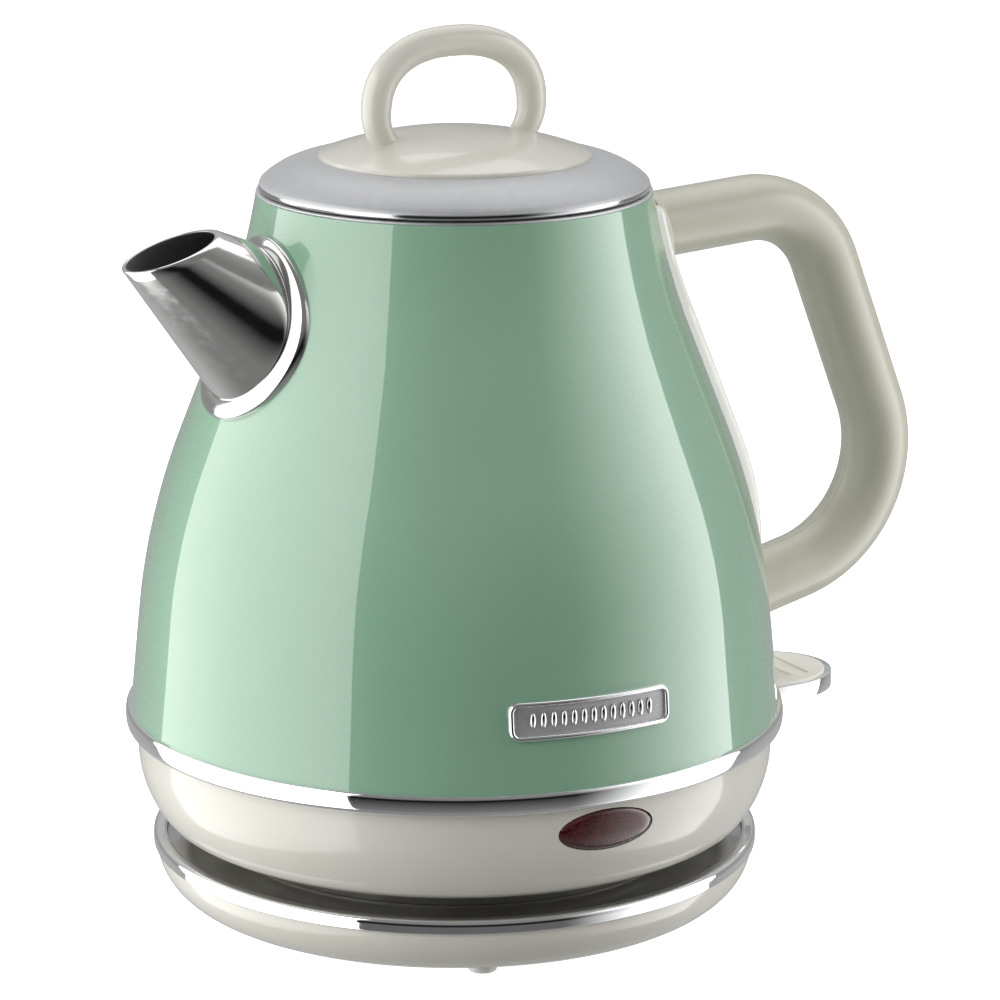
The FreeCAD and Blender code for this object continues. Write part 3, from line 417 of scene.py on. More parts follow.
def polishBelow(material, height):
    # the metal below this height is polished: a bright line round the rim
    tree = material.node_tree
    shader = tree.nodes["Principled BSDF"]
    coords = tree.nodes.new("ShaderNodeTexCoord").outputs["Object"]
    up = addNode(tree, "ShaderNodeSeparateXYZ", {"Vector": coords}).outputs["Z"]
    low = rangeOf(tree, up, 1, 0, (height - 0.2) * mm, (height + 0.2) * mm)
    tree.links.new(rangeOf(tree, low, shader.inputs["Metallic"].default_value, 1.0, 0, 1),
                   shader.inputs["Metallic"])
    rough = shader.inputs["Roughness"].links[0].from_socket
    scaled = mathOf(tree, "MULTIPLY", rough, mathOf(tree, "SUBTRACT", 1.0, low))
    tree.links.new(mathOf(tree, "MAXIMUM", scaled, 0.12), shader.inputs["Roughness"])


def makeLens(name, colour, dim, rough):
    material, tree, shader, coords = startMaterial(name)
    shader.inputs["Coat Weight"].default_value = 1.0
    shader.inputs["Coat Roughness"].default_value = 0.04
    cells = addNode(tree, "ShaderNodeTexVoronoi", {"Vector": coords, "Scale": 1500.0}).outputs["Distance"]
    tree.links.new(mixColour(tree, rangeOf(tree, cells, 0, 1, 0.1, 0.7), dim, colour),
                   shader.inputs["Base Color"])
    tree.links.new(rangeOf(tree, cells, rough, rough + 0.2), shader.inputs["Roughness"])
    addBump(tree, shader, cells, 0.3, 0.0001)
    return material


mintEnamel = makeEnamel(enamelLook)
creamGloss = makePlastic("creamGloss", creamLook["pale"], creamLook["deep"], creamLook["rough"], bump=0.008,
                         coat=0.65, coatRough=0.06, level=0.35, spread=0.01)
softCream = makePlastic("softCream", (0.53, 0.515, 0.43), (0.49, 0.475, 0.39), 0.40, grain=3200, bump=0.06,
                        coat=0.8, coatRough=0.30)
ductCream = makePlastic("ductCream", (0.84, 0.83, 0.79), (0.79, 0.78, 0.73), 0.30, coat=0.6)
brightChrome = makeChrome("brightChrome", (0.90, 0.905, 0.915), (0.86, 0.865, 0.875), 0.035)
satinSteel = makeBrushed("satinSteel", (0.64, 0.645, 0.655), (0.59, 0.595, 0.605), 0.52, (2, 60, 2),
                         around=True)
lidSteel = makeBrushed("lidSteel", (0.53, 0.535, 0.545), (0.49, 0.495, 0.505), 0.46, (2, 60, 2), bump=0.15,
                       around=True, metal=0.5)
lidPolishZ = 186.3
polishBelow(lidSteel, lidPolishZ)
wallSteel = makeBrushed("wallSteel", (0.55, 0.55, 0.55), (0.46, 0.46, 0.46), 0.30, (60, 3, 3), around=True)
plateField = makeBrushed("plateField", (0.50, 0.50, 0.50), (0.36, 0.36, 0.36), 0.40, (0.6, 0.6, 9), bump=0.5,
                         metal=0.4)
padCream = makePlastic("padCream", (0.92, 0.90, 0.82), (0.87, 0.85, 0.77), 0.40, bump=0.1)
deckSteel = makeChrome("deckSteel", (0.52, 0.52, 0.52), (0.44, 0.44, 0.44), 0.10, smear=0.06)
darkPlastic = makePlastic("darkPlastic", (0.030, 0.030, 0.032), (0.020, 0.020, 0.022), 0.38)
sealRubber = makePlastic("sealRubber", (0.13, 0.13, 0.13), (0.09, 0.09, 0.09), 0.62, bump=0.2)
footRubber = makePlastic("footRubber", (0.74, 0.73, 0.70), (0.66, 0.65, 0.62), 0.4, bump=0.1)
screwSteel = makeBrushed("screwSteel", (0.62, 0.62, 0.62), (0.5, 0.5, 0.5), 0.28, (3, 3, 3))
brassContact = makeBrushed("brassContact", (0.80, 0.60, 0.28), (0.66, 0.47, 0.2), 0.22, (40, 4, 4),
                           around=True)
heaterMetal = makeBrushed("heaterMetal", (0.60, 0.60, 0.61), (0.46, 0.46, 0.47), 0.42, (3, 3, 3))
filterPlastic = makePlastic("filterPlastic", (0.50, 0.50, 0.47), (0.44, 0.44, 0.41), 0.36)
redLens = makeLens("redLens", (0.085, 0.006, 0.007), (0.030, 0.002, 0.003), 0.12)
lampGlass = makeLens("lampGlass", (0.80, 0.42, 0.25), (0.6, 0.25, 0.15), 0.05)

slotLooks = {
    "cream_plastic": creamGloss, "green_enamel": mintEnamel, "chrome_trim": brightChrome,
    "satin_steel": satinSteel, "steel_fastener": screwSteel, "dark_plastic": darkPlastic,
    "filter_plastic": filterPlastic, "brass_contact": brassContact, "heater_aluminium": heaterMetal,
    "seal_rubber": sealRubber, "red_lens": redLens, "lamp_glass": lampGlass,
}
for cadNode in cadNodes.values():
    for place in cadNode.material_slots:
        look = slotLooks[place.material.name.split(".")[0]]
        place.link = "OBJECT"
        place.material = look
print("materials made")

# vessel: enamel outside, steel inside
bodySize = {"footR": 84.0, "footZ": 51.2, "beltR": 81.6, "beltZ": 75.2, "swellBend": 178.6, "sideR": 70.0,
            "sideZ": 123.2, "waistR": 61.0, "waistZ": 146.2, "neckBend": -184.4, "neckR": 50.2,
            "neckZ": 184.0, "lipSoft": 0.15, "coat": 0.45, "wall": 1.0, "gap": 0.02, "portGrow": 0.25,
            "steamX": 55.0, "steamZ": 158.0, "steamR": 3.5, "steamLong": 30.0, "segments": 256}


def bodyLine(size, inset=0.0, soft=0.0):
    return [(size["footR"] - inset, size["footZ"]),
            (size["beltR"] - inset, size["beltZ"], 0, 5.0),
            (size["sideR"] - inset, size["sideZ"], size["swellBend"] - inset, 4.0),
            (size["waistR"] - inset, size["waistZ"], 0, 6.0),
            (size["neckR"] - inset, size["neckZ"], size["neckBend"] - inset, soft)]


def reversedLine(steps):
    # the same line walked the other way: a bend moves to the step where its arc now ends
    turned = []
    for index in range(len(steps) - 1, -1, -1):
        follow = steps[index + 1] if index + 1 < len(steps) else ()
        bend = follow[2] if len(follow) > 2 else 0
        soft = steps[index][3] if len(steps[index]) > 3 else 0
        turned.append((*steps[index][:2], bend, soft))
    return turned


def radiusTable(points):
    table = sorted(points, key=lambda point: point.y)

    def radiusAt(height):
        low, high = 0, len(table) - 1
        height = min(max(height, table[0].y), table[-1].y)
        while high - low > 1:
            middle = (low + high) // 2
            low, high = (middle, high) if table[middle].y <= height else (low, middle)
        start, end = table[low], table[high]
        return start.x + (end.x - start.x) * (height - start.y) / max(end.y - start.y, 1e-9)
    return radiusAt


bodyRadius = radiusTable(outline(bodyLine(bodySize), step=0.5, closed=False))


def meetWall(point, direction, proud=0.0, radiusAt=bodyRadius, near=-45.0, far=45.0):
    # where a line comes out of a round wall that is moved outwards by proud
    for _ in range(46):
        middle = (near + far) / 2
        spot = point + direction * middle
        if math.hypot(spot.x, spot.y) < radiusAt(spot.z) + proud:
            near = middle
        else:
            far = middle
    return point + direction * near


spoutSize = {"apexX": -108.8, "apexZ": 196.3, "tilt": 37.9, "halfAngle": 16.5, "wall": 1.2, "lowX": -91.0,
             "lowZ": 171.4, "highX": -66.3, "highZ": 179.6, "collarX": -58.3, "collarZ": 154.0,
             "collarTilt": 21.0, "collarR": 23.4, "filletUp": 7.0, "around": 176}
spoutLean = math.radians(spoutSize["tilt"])
spoutApex = Vector((spoutSize["apexX"], 0, spoutSize["apexZ"]))
spoutAxis = Vector((math.cos(spoutLean), 0, -math.sin(spoutLean)))
spoutUp = Vector((math.sin(spoutLean), 0, math.cos(spoutLean)))
sideways = Vector((0, 1, 0))
# the inside colour is painted shade: near-black for the shadow inside the spout
spoutSteel = makeSpoutSteel({"colour": (0.72, 0.72, 0.71), "dim": (0.66, 0.66, 0.65), "rough": 0.09,
                             "paintedShadeInside": (0.10, 0.102, 0.106), "skin": 1.2})


def spoutSide(turn):
    return spoutUp * math.cos(turn) + sideways * math.sin(turn)


def spoutRay(turn, thinner=0.0):
    # a straight line down the cone's wall: its start and its direction
    half = math.radians(spoutSize["halfAngle"])
    direction = spoutAxis * math.cos(half) + spoutSide(turn) * math.sin(half)
    return spoutApex + spoutAxis * (thinner / math.sin(half)), direction


def meetLip(start, direction, lower=0.0):
    size = spoutSize
    normal = Vector((size["lowZ"] - size["highZ"], 0, size["highX"] - size["lowX"])).normalized()
    corner = Vector((size["lowX"], 0, size["lowZ"])) - normal * lower
    return start + direction * ((corner - start).dot(normal) / direction.dot(normal))


def spoutCutter(name, grow):
    rings = []
    half = math.radians(spoutSize["halfAngle"])
    for away in (40, 78):
        radius = away * math.tan(half) + grow
        rings.append([spoutApex + spoutAxis * away + spoutSide(turn) * radius for turn in turnsOf(96)])
    return cleanSurface(ringStack(name, rings, capEnds=True))


def rodCutter(name, centre, direction, radius, long, sides=32):
    direction = direction.normalized()
    across = direction.orthogonal().normalized()
    other = direction.cross(across)
    rings = [[centre + direction * away + (across * math.cos(turn) + other * math.sin(turn)) * radius
              for turn in turnsOf(sides)]
             for away in (-long / 2, long / 2)]
    return cleanSurface(ringStack(name, rings, capEnds=True))


def bodyShellPiece(name, material, outer, inner, step):
    size = bodySize
    steps = [(size["footR"] - inner, size["footZ"]), *bodyLine(size, outer, size["lipSoft"]),
             *reversedLine(bodyLine(size, inner))[:-1]]
    piece = cleanSurface(turnedPiece(name, outline(steps, step), material, size["segments"]))
    steamTool = rodCutter("steamTool", Vector((size["steamX"], 0, size["steamZ"])), Vector((1, 0, 0)),
                          size["steamR"], size["steamLong"])
    return carve(piece, spoutCutter("portTool", size["portGrow"]), steamTool)


enamelCoat = bodyShellPiece("enamel_body", mintEnamel, 0.0, bodySize["coat"], 1.8)
finishPiece(enamelCoat, "kettle", mintEnamel, ["body_shell"])
innerWall = bodyShellPiece("vessel_inner_wall", wallSteel, bodySize["coat"] + bodySize["gap"],
                           bodySize["wall"], 3.0)
finishPiece(innerWall, "kettle", wallSteel)
print("vessel made")

# spout, with the collar it grows out of
collarLean = math.radians(spoutSize["collarTilt"])
collarOut = Vector((-math.cos(collarLean), 0, math.sin(collarLean)))
collarUp = Vector((math.sin(collarLean), 0, math.cos(collarLean)))
collarAt = Vector((spoutSize["collarX"], 0, spoutSize["collarZ"]))


def collarSpot(turn, radius, proud):
    point = collarAt + (collarUp * math.cos(turn) + sideways * math.sin(turn)) * radius
    return meetWall(point, collarOut, proud)


def spoutProfile(turn):
    size = spoutSize
    start, direction = spoutRay(turn)
    innerStart, innerDirection = spoutRay(turn, size["wall"])

    def onCone(proud):
        # where the cone's wall goes into the body
        return meetWall(start, direction, proud, bodyRadius, 90.0, 30.0)

    bead = [(0.0, -0.3), (0.0, 0.9), (0.10, 1.3), (0.35, 1.7), (0.8, 1.93), (1.7, 2.08), (2.8, 2.18),
            (3.9, 2.15), (4.7, 1.95)]
    points = [collarSpot(turn, size["collarR"] - inward, proud) for inward, proud in bead]
    corner = onCone(1.15)
    end = corner - direction * size["filletUp"]
    points += softBend(points[-1], corner, end, 10)[1:]
    lip = meetLip(start, direction, 0.5)
    points += [end.lerp(lip, index / 14) for index in range(1, 15)]
    innerLip = meetLip(innerStart, innerDirection, 0.5)
    crown = (meetLip(start, direction) + meetLip(innerStart, innerDirection)) / 2
    for index in range(1, 6):
        angle = math.pi * index / 6
        middle = (lip + innerLip) / 2
        points.append(middle + (lip - middle) * math.cos(angle) + (crown - middle) * math.sin(angle))
    innerEnd = meetWall(innerStart + innerDirection * 55, -innerDirection, -1.0)
    points += [innerLip.lerp(innerEnd, index / 12) for index in range(13)]
    return points + [onCone(-1.0), onCone(-0.3)]


spoutColumns = [spoutProfile(turn) for turn in turnsOf(spoutSize["around"])]
spoutRings = [[column[level] for column in spoutColumns] for level in range(len(spoutColumns[0]))]
finishPiece(ringStack("pouring_spout", spoutRings, loop=True), "kettle", spoutSteel,
            ["spout", "spout_collar"], angle=50)
print("spout made")

# chrome band and lower housing
bandSize = {"innerR": 80.4, "edgeR": 85.3, "lowZ": 46.2, "highZ": 51.2, "bend": 15.0, "soft": 0.6}
bandLine = [(bandSize["innerR"], bandSize["lowZ"]), (bandSize["edgeR"] - 0.5, bandSize["lowZ"], 0, 0.2),
            (bandSize["edgeR"], bandSize["lowZ"] + 0.5, 0, bandSize["soft"]),
            (bandSize["edgeR"], bandSize["highZ"] - 0.5, bandSize["bend"], bandSize["soft"]),
            (bandSize["edgeR"] - 0.4, bandSize["highZ"], 0, 0.2), (bandSize["innerR"], bandSize["highZ"])]
chromeBand = turnedPiece("chrome_waistband", outline(bandLine, 0.5), brightChrome, 256)
finishPiece(chromeBand, "kettle", brightChrome, ["chrome_band"])

housingSize = {"footR": 70.5, "footZ": 20.8, "heelR": 77.3, "heelZ": 24.3, "heelBend": 8.3, "bellyR": 82.4,
               "bellyZ": 40.5, "bellyBend": 28.2, "topZ": 46.2, "wall": 2.0, "slotWide": 35.4,
               "slotLow": 37.2, "slotHigh": 45.3, "slotFrom": 70.0, "slotTo": 104.0}


def housingLine(size, inset=0.0):
    return [(size["footR"] - inset * 0.2, size["footZ"] + inset),
            (size["heelR"] - inset * 0.7, size["heelZ"] + inset * 0.7, size["heelBend"] - inset * 0.5, 1.5),
            (size["bellyR"] - inset, size["bellyZ"], size["bellyBend"] - inset, 2.0),
            (size["bellyR"] - inset, size["topZ"])]


def boxCutter(name, low, high):
    corners = [Vector((x, y, z)) for x in (low[0], high[0])
               for y in (low[1], high[1]) for z in (low[2], high[2])]
    faces = [(0, 1, 3, 2), (4, 6, 7, 5), (0, 4, 5, 1), (2, 3, 7, 6), (0, 2, 6, 4), (1, 5, 7, 3)]
    return cleanSurface(meshFrom(name, [corner * mm for corner in corners], faces))


housingRadius = radiusTable(outline(housingLine(housingSize), step=0.4, closed=False))
lensSize = {"turn": -91.0, "height": 39.2, "wide": 26.0, "tall": 10.4, "proud": 0.7, "crown": 0.55,
            "sink": 0.25, "back": 0.975, "rows": 16, "around": 96}


def outwardAt(turn):
    # straight out from the axis at this many degrees, and square to that
    angle = math.radians(turn)
    outward = Vector((math.cos(angle), math.sin(angle), 0))
    return outward, Vector((-outward.y, outward.x, 0))


def radialSpot(turn, across, height, proud, radiusAt):
    # a place on a round wall: across is measured square to the direction that turn gives
    outward, along = outwardAt(turn)
    return meetWall(along * across + Vector((0, 0, height)), outward, proud, radiusAt, 20.0, 110.0)


def lensCutter(grow):
    rings = []
    outward, along = outwardAt(lensSize["turn"])
    for away in (70, 95):
        rings.append([outward * away + along * (math.cos(turn) * (lensSize["wide"] / 2 + grow))
                      + Vector((0, 0, lensSize["height"] + math.sin(turn) * (lensSize["tall"] / 2 + grow)))
                      for turn in turnsOf(72)])
    return cleanSurface(ringStack("lensTool", rings, capEnds=True))


housingSteps = [*housingLine(housingSize), *reversedLine(housingLine(housingSize, housingSize["wall"]))]
lowerHousing = cleanSurface(turnedPiece("lower_housing_shell", outline(housingSteps, 1.6), creamGloss, 256))
carve(lowerHousing, lensCutter(0.12),
      boxCutter("slotTool", (housingSize["slotFrom"], -housingSize["slotWide"] / 2, housingSize["slotLow"]),
                (housingSize["slotTo"], housingSize["slotWide"] / 2, housingSize["slotHigh"])))
finishPiece(lowerHousing, "kettle", creamGloss, ["lower_housing"])

lensRings = []
for level in range(lensSize["rows"]):
    share = level / (lensSize["rows"] - 1)
    size = 1 - share
    edge = lensSize["proud"] * min(1, share * 6) ** 0.5
    proud = edge + lensSize["crown"] * (1 - size * size) * 0.6 - lensSize["sink"]
    wide, tall = [lensSize[side] / 2 * max(size, 0.001) for side in ("wide", "tall")]
    lensRings.append([radialSpot(lensSize["turn"], math.cos(turn) * wide,
                                 lensSize["height"] + math.sin(turn) * tall, proud, housingRadius)
                      for turn in turnsOf(lensSize["around"])])
lensRings.insert(0, [Vector((spot.x * lensSize["back"], spot.y * lensSize["back"], spot.z))
                     for spot in lensRings[0]])
finishPiece(ringStack("lamp_window", lensRings, capEnds=True), "kettle", redLens,
            ["indicator_lens"], angle=60)
print("band, housing and lamp window made")

# base unit
baseSize = {"footR": 70.0, "footZ": 1.8, "sideR": 78.0, "sideZ": 13.8, "sideBend": 13.0, "rimR": 72.0,
            "innerR": 62.0, "skin": 2.4, "glandY": 74.0, "glandZ": 8.4, "glandR": 5.0, "glandLong": 18.0}
baseLine = [(baseSize["innerR"], baseSize["footZ"] + 0.02), (baseSize["footR"], baseSize["footZ"], 0, 1.2),
            (baseSize["sideR"], baseSize["sideZ"], baseSize["sideBend"], 0.4),
            (baseSize["rimR"], baseSize["sideZ"]),
            (baseSize["rimR"], baseSize["footZ"] + 2 * baseSize["skin"]),
            (baseSize["footR"] - 1, baseSize["footZ"] + baseSize["skin"]),
            (baseSize["innerR"], baseSize["footZ"] + baseSize["skin"])]
baseBowl = cleanSurface(turnedPiece("base_bowl", outline(baseLine, 1.2), creamGloss, 256))
carve(baseBowl, rodCutter("glandTool", Vector((0, baseSize["glandY"], baseSize["glandZ"])), Vector((0, 1, 0)),
                          baseSize["glandR"], baseSize["glandLong"]))
finishPiece(baseBowl, "base", creamGloss, ["base_shell"])
trimSize = {"innerR": 75.3, "outerR": 78.8, "lowZ": 13.8, "highZ": 17.2, "soft": 1.5}
trimLine = [(trimSize["innerR"], trimSize["lowZ"]), (trimSize["outerR"], trimSize["lowZ"], 0, 0.25),
            (trimSize["outerR"], trimSize["highZ"], 0, trimSize["soft"]),
            (trimSize["innerR"], trimSize["highZ"], 0, 0.9), (trimSize["innerR"], trimSize["lowZ"] + 0.4)]
baseTrim = turnedPiece("base_trim_ring", outline(trimLine, 0.4), brightChrome, 256)
finishPiece(baseTrim, "base", brightChrome, ["base_chrome_ring"])
print("base made")

# lid: satin dome, cream cap and loop
lidSize = {"rimR": 49.5, "rimZ": 184.9, "edge": 0.8, "bendR": 48.8, "bendZ": 187.4, "rimBend": 2.5,
           "shoulderBend": 21.0, "capR": 34.5, "crownZ": 192.8, "rise": 6.3, "sheet": 1.2, "capThick": 0.9}
domeBend = (lidSize["capR"] ** 2 + lidSize["rise"] ** 2) / (2 * lidSize["rise"])
domeTop = lidSize["crownZ"] + lidSize["rise"]
lidLine = [(lidSize["rimR"] - 2.4, lidSize["rimZ"]), (lidSize["rimR"] - lidSize["edge"], lidSize["rimZ"]),
           (lidSize["rimR"], lidSize["rimZ"] + lidSize["edge"], lidSize["edge"]),
           (lidSize["bendR"], lidSize["bendZ"], lidSize["rimBend"]),
           (lidSize["capR"], lidSize["crownZ"], lidSize["shoulderBend"]), (0, domeTop, domeBend),
           (0, domeTop - lidSize["sheet"]), (lidSize["capR"], lidSize["crownZ"] - lidSize["sheet"], domeBend),
           (lidSize["rimR"] - 2.4, lidSize["rimZ"], lidSize["shoulderBend"])]
lidDome = turnedPiece("lid_dome", outline(lidLine, 0.9, closed=False), lidSteel, 224)
finishPiece(lidDome, "lid", lidSteel, ["lid_plate"])


def domeHeight(radius, offset=0.0):
    return domeTop - domeBend + math.sqrt((domeBend + offset) ** 2 - radius ** 2)


capLine = [(0, domeTop - 0.05), (lidSize["capR"], lidSize["crownZ"] + 0.02, domeBend),
           (lidSize["capR"], domeHeight(lidSize["capR"], lidSize["capThick"]), 0, 0.55),
           (0, domeTop + lidSize["capThick"], domeBend + lidSize["capThick"])]
lidCap = turnedPiece("lid_cap_shell", outline(capLine, 0.8, closed=False), creamGloss, 224)
finishPiece(lidCap, "lid", creamGloss, ["lid_cap"])


def roundedPath(corners, bends, step):
    # straight runs in the XZ plane with tangent arcs at the inner corners
    spots = [Vector(corner) for corner in corners]
    points = [spots[0]]
    for index, bend in enumerate(bends, 1):
        before = (spots[index] - spots[index - 1]).normalized()
        after = (spots[index + 1] - spots[index]).normalized()
        half = before.angle(after) / 2
        cut = bend * math.tan(half)
        start, end = spots[index] - before * cut, spots[index] + after * cut
        inward = (after - before).normalized()
        centre = spots[index] + inward * (bend / math.cos(half))
        first, turned = start - centre, (start - centre).angle_signed(end - centre)
        run = max(1, math.ceil((start - points[-1]).length / step))
        points += [points[-1].lerp(start, share / run) for share in range(1, run + 1)]
        count = max(4, math.ceil(2 * half * bend / step))
        for share in range(1, count + 1):
            points.append(centre + Matrix.Rotation(-turned * share / count, 2) @ first)
    run = max(1, math.ceil((spots[-1] - points[-1]).length / step))
    points += [points[-1].lerp(spots[-1], share / run) for share in range(1, run + 1)]
    return [Vector((point[0], 0, point[1])) for point in points]


def tubeRings(path, sections):
    # sections gives, for a place on the path, the ring's points: up in the path's plane, then across in Y
    rings = []
    for index, point in enumerate(path):
        before, after = path[max(index - 1, 0)], path[min(index + 1, len(path) - 1)]
        along = (after - before).normalized()
        normal = Vector((-along.z, 0, along.x))
        rings.append([point + normal * height + Vector((0, width, 0)) for height, width in sections(index)])
    return rings


loopSize = {"tubeR": 3.9, "feet": 17.8, "footZ": 195.5, "knee": 22.1, "kneeZ": 204.6, "crownZ": 222.0,
            "square": 2.35, "ease": 4.6, "flare": -0.55, "flareUp": 12.0, "legPieces": 12, "archPieces": 30,
            "around": 40}


def loopLine(size):
    # curved legs, then half of a slightly squared oval
    foot, knee = Vector((size["feet"], 0, size["footZ"])), Vector((size["knee"], 0, size["kneeZ"]))
    half = softBend(foot, knee - Vector((0, 0, size["ease"])), knee, size["legPieces"])[:-1]
    rise, power = size["crownZ"] - size["kneeZ"], 2 / size["square"]
    for index in range(size["archPieces"] + 1):
        turn = math.pi / 2 * index / size["archPieces"]
        half.append(Vector((size["knee"] * math.cos(turn) ** power, 0,
                            size["kneeZ"] + rise * math.sin(turn) ** power)))
    return [Vector((-spot.x, 0, spot.z)) for spot in half] + half[-2::-1]


loopPath = loopLine(loopSize)


def loopSection(index):
    point = loopPath[index]
    above = point.z - domeHeight(abs(point.x), lidSize["capThick"])
    share = min(max(1 - above / loopSize["flareUp"], 0), 1)
    radius = loopSize["tubeR"] + loopSize["flare"] * share ** 1.5
    return [(math.cos(turn) * radius, math.sin(turn) * radius) for turn in turnsOf(loopSize["around"])]


finishPiece(ringStack("lid_lifting_loop", tubeRings(loopPath, loopSection), capEnds=True), "lid",
            creamGloss, ["lid_loop"], angle=60)
print("lid made")

# handle, duct cover and the oval plate at the handle's root
gripSize = {"thick": 17.4, "wide": 20.0, "startX": 50.0, "startZ": 169.5, "cornerX": 104.8, "cornerZ": 173.5,
            "cornerBend": 25.0, "elbowX": 140.8, "elbowZ": 81.6, "elbowBend": 33.0, "endX": 76.0,
            "endZ": 65.4, "upperFrom": 56.4, "lowerFrom": 86.2, "notch": 0.16, "notchWide": 0.028,
            "around": 64}
gripPath = roundedPath([(gripSize["startX"], gripSize["startZ"]), (gripSize["cornerX"], gripSize["cornerZ"]),
                        (gripSize["elbowX"], gripSize["elbowZ"]), (gripSize["endX"], gripSize["endZ"])],
                       [gripSize["cornerBend"], gripSize["elbowBend"]], 1.6)
gripPath = [point for point in gripPath
            if point.x > (gripSize["upperFrom"] if point.z > 120 else gripSize["lowerFrom"])]
gripTurns = []
for place, turn in enumerate(turnsOf(gripSize["around"])):
    if place % (gripSize["around"] // 2) == 0:
        gripTurns += [(turn - gripSize["notchWide"], 0), (turn, gripSize["notch"]),
                      (turn + gripSize["notchWide"], 0)]
    else:
        gripTurns.append((turn, 0))


def gripSection(index):
    tall, wide = gripSize["thick"] / 2, gripSize["wide"] / 2
    return [(math.cos(turn) * (tall - notch), math.sin(turn) * (wide - notch)) for turn, notch in gripTurns]


finishPiece(ringStack("grip_handle", tubeRings(gripPath, gripSection), capEnds=True), "kettle",
            softCream, ["handle_left", "handle_right"], angle=60)

ductSize = {"wide": 27.0, "lowR": 87.2, "lowZ": 51.25, "bendR": 86.8, "bendZ": 84.0, "bendArc": 77.7,
            "kneeR": 80.6, "kneeZ": 113.0, "neckR": 62.2, "neckZ": 156.0, "neckArc": -119.0, "topR": 54.6,
            "topZ": 184.0, "endZ": 177.0, "soft": 1.6, "sink": 0.15, "crown": 2.2, "tuck": 0.12, "rows": 84}
ductLine = outline([(ductSize["lowR"], ductSize["lowZ"]), (ductSize["bendR"], ductSize["bendZ"]),
                    (ductSize["kneeR"], ductSize["kneeZ"], ductSize["bendArc"], 3),
                    (ductSize["neckR"], ductSize["neckZ"], 0, 3),
                    (ductSize["topR"], ductSize["topZ"], ductSize["neckArc"])], 0.5, closed=False)
ductRadius = radiusTable(ductLine)


def ductRing(height, squeeze=1.0):
    half, soft = ductSize["wide"] / 2 * squeeze, ductSize["soft"]
    outer = bodyRadius(height) + (ductRadius(height) - bodyRadius(height)) * squeeze
    inner = bodyRadius(height) - ductSize["sink"]

    def onArc(radius, across, cut=0.0):
        return Vector((math.sqrt(radius ** 2 - across ** 2) - cut, across, height))

    def onEdge(turn, side):
        return onArc(outer, side * (half - soft + soft * math.sin(turn)), soft * (1 - math.cos(turn)))

    ring = [onArc(outer, -half + soft + (2 * half - 2 * soft) * index / 24) for index in range(25)]
    ring += [onEdge(math.pi / 2 * index / 7, 1) for index in range(1, 8)]
    ring += [ring[-1].lerp(onArc(inner, half), share / 4) for share in range(1, 5)]
    ring += [onArc(inner, half - 2 * half * index / 12) for index in range(1, 12)]
    start = Vector((ring[0].x - soft, -half, height))
    ring += [onArc(inner, -half).lerp(start, share / 4) for share in range(5)]
    return ring + [onEdge(math.pi / 2 * (1 - index / 7), -1) for index in range(1, 7)]


ductRise = ductSize["endZ"] - ductSize["crown"] - ductSize["lowZ"]
ductRings = [ductRing(ductSize["lowZ"] + ductRise * index / ductSize["rows"])
             for index in range(ductSize["rows"] + 1)]
for index in range(1, 7):
    turn = math.pi / 2 * index / 6
    ductRings.append(ductRing(ductSize["lowZ"] + ductRise + ductSize["crown"] * math.sin(turn),
                              1 - ductSize["tuck"] * (1 - math.cos(turn))))
finishPiece(ringStack("steam_duct_shell", ductRings, capEnds=True), "kettle", ductCream,
            ["steam_duct_cover"], angle=45)

ovalSize = {"tall": 20.4, "wide": 23.0, "height": 170.4, "around": 72}


def ovalRing(inset, proud):
    wide, tall = ovalSize["wide"] / 2 - inset, ovalSize["tall"] / 2 - inset
    return [radialSpot(0, math.cos(turn) * wide, ovalSize["height"] + math.sin(turn) * tall, proud,
                       ductRadius) for turn in turnsOf(ovalSize["around"])]


ovalSteps = [(0, -0.5), (0, 0.7), (0.12, 1.1), (0.4, 1.4), (0.9, 1.6), (1.8, 1.6), (3.4, 1.6)]
finishPiece(ringStack("handle_root_plate", [ovalRing(*step) for step in ovalSteps], capEnds=True),
            "kettle", softCream, ["handle_plate"], angle=50)
print("handle and duct cover made")

# badge: a bright bead round a brushed field, with a plain row of studs
badgeSize = {"turn": -94.0, "height": 69.0, "wide": 43.0, "tall": 9.6, "corner": 2.6}


def badgeRing(inset, proud):
    wide, tall = badgeSize["wide"] / 2 - inset, badgeSize["tall"] / 2 - inset
    corner = min(max(badgeSize["corner"] - inset, 0.02), tall * 0.98)
    flat = []
    for sideX, sideY, start in ((1, 1, 0), (-1, 1, 90), (-1, -1, 180), (1, -1, 270)):
        for index in range(9):
            turn = math.radians(start + 90 * index / 8)
            flat.append((sideX * (wide - corner) + math.cos(turn) * corner,
                         sideY * (tall - corner) + math.sin(turn) * corner))
    full = []
    for index, (across, up) in enumerate(flat):
        follow = flat[(index + 1) % len(flat)]
        pieces = 14 if index in (8, 26) else (4 if index in (17, 35) else 1)
        full += [(across + (follow[0] - across) * part / pieces, up + (follow[1] - up) * part / pieces)
                 for part in range(pieces)]
    return [radialSpot(badgeSize["turn"], across, badgeSize["height"] + up, proud, bodyRadius)
            for across, up in full]


beadSteps = [(0, -0.1), (0, 0.9), (0.12, 1.28), (0.34, 1.5), (0.62, 1.6), (0.9, 1.5), (1.14, 1.28),
             (1.3, 0.95), (1.3, -0.1)]
finishPiece(ringStack("badge_bead", [badgeRing(*step) for step in beadSteps], loop=True), "kettle",
            brightChrome, ["badge_frame"], angle=50)
fieldSteps = [(1.28, -0.05), (1.28, 0.7), (1.45, 0.62), (1.8, 0.6), (2.6, 0.6), (3.6, 0.6), (4.79, 0.6)]
finishPiece(ringStack("badge_field", [badgeRing(*step) for step in fieldSteps], capEnds=True),
            "kettle", plateField, ["badge_plate"], angle=50)
print("badge made")


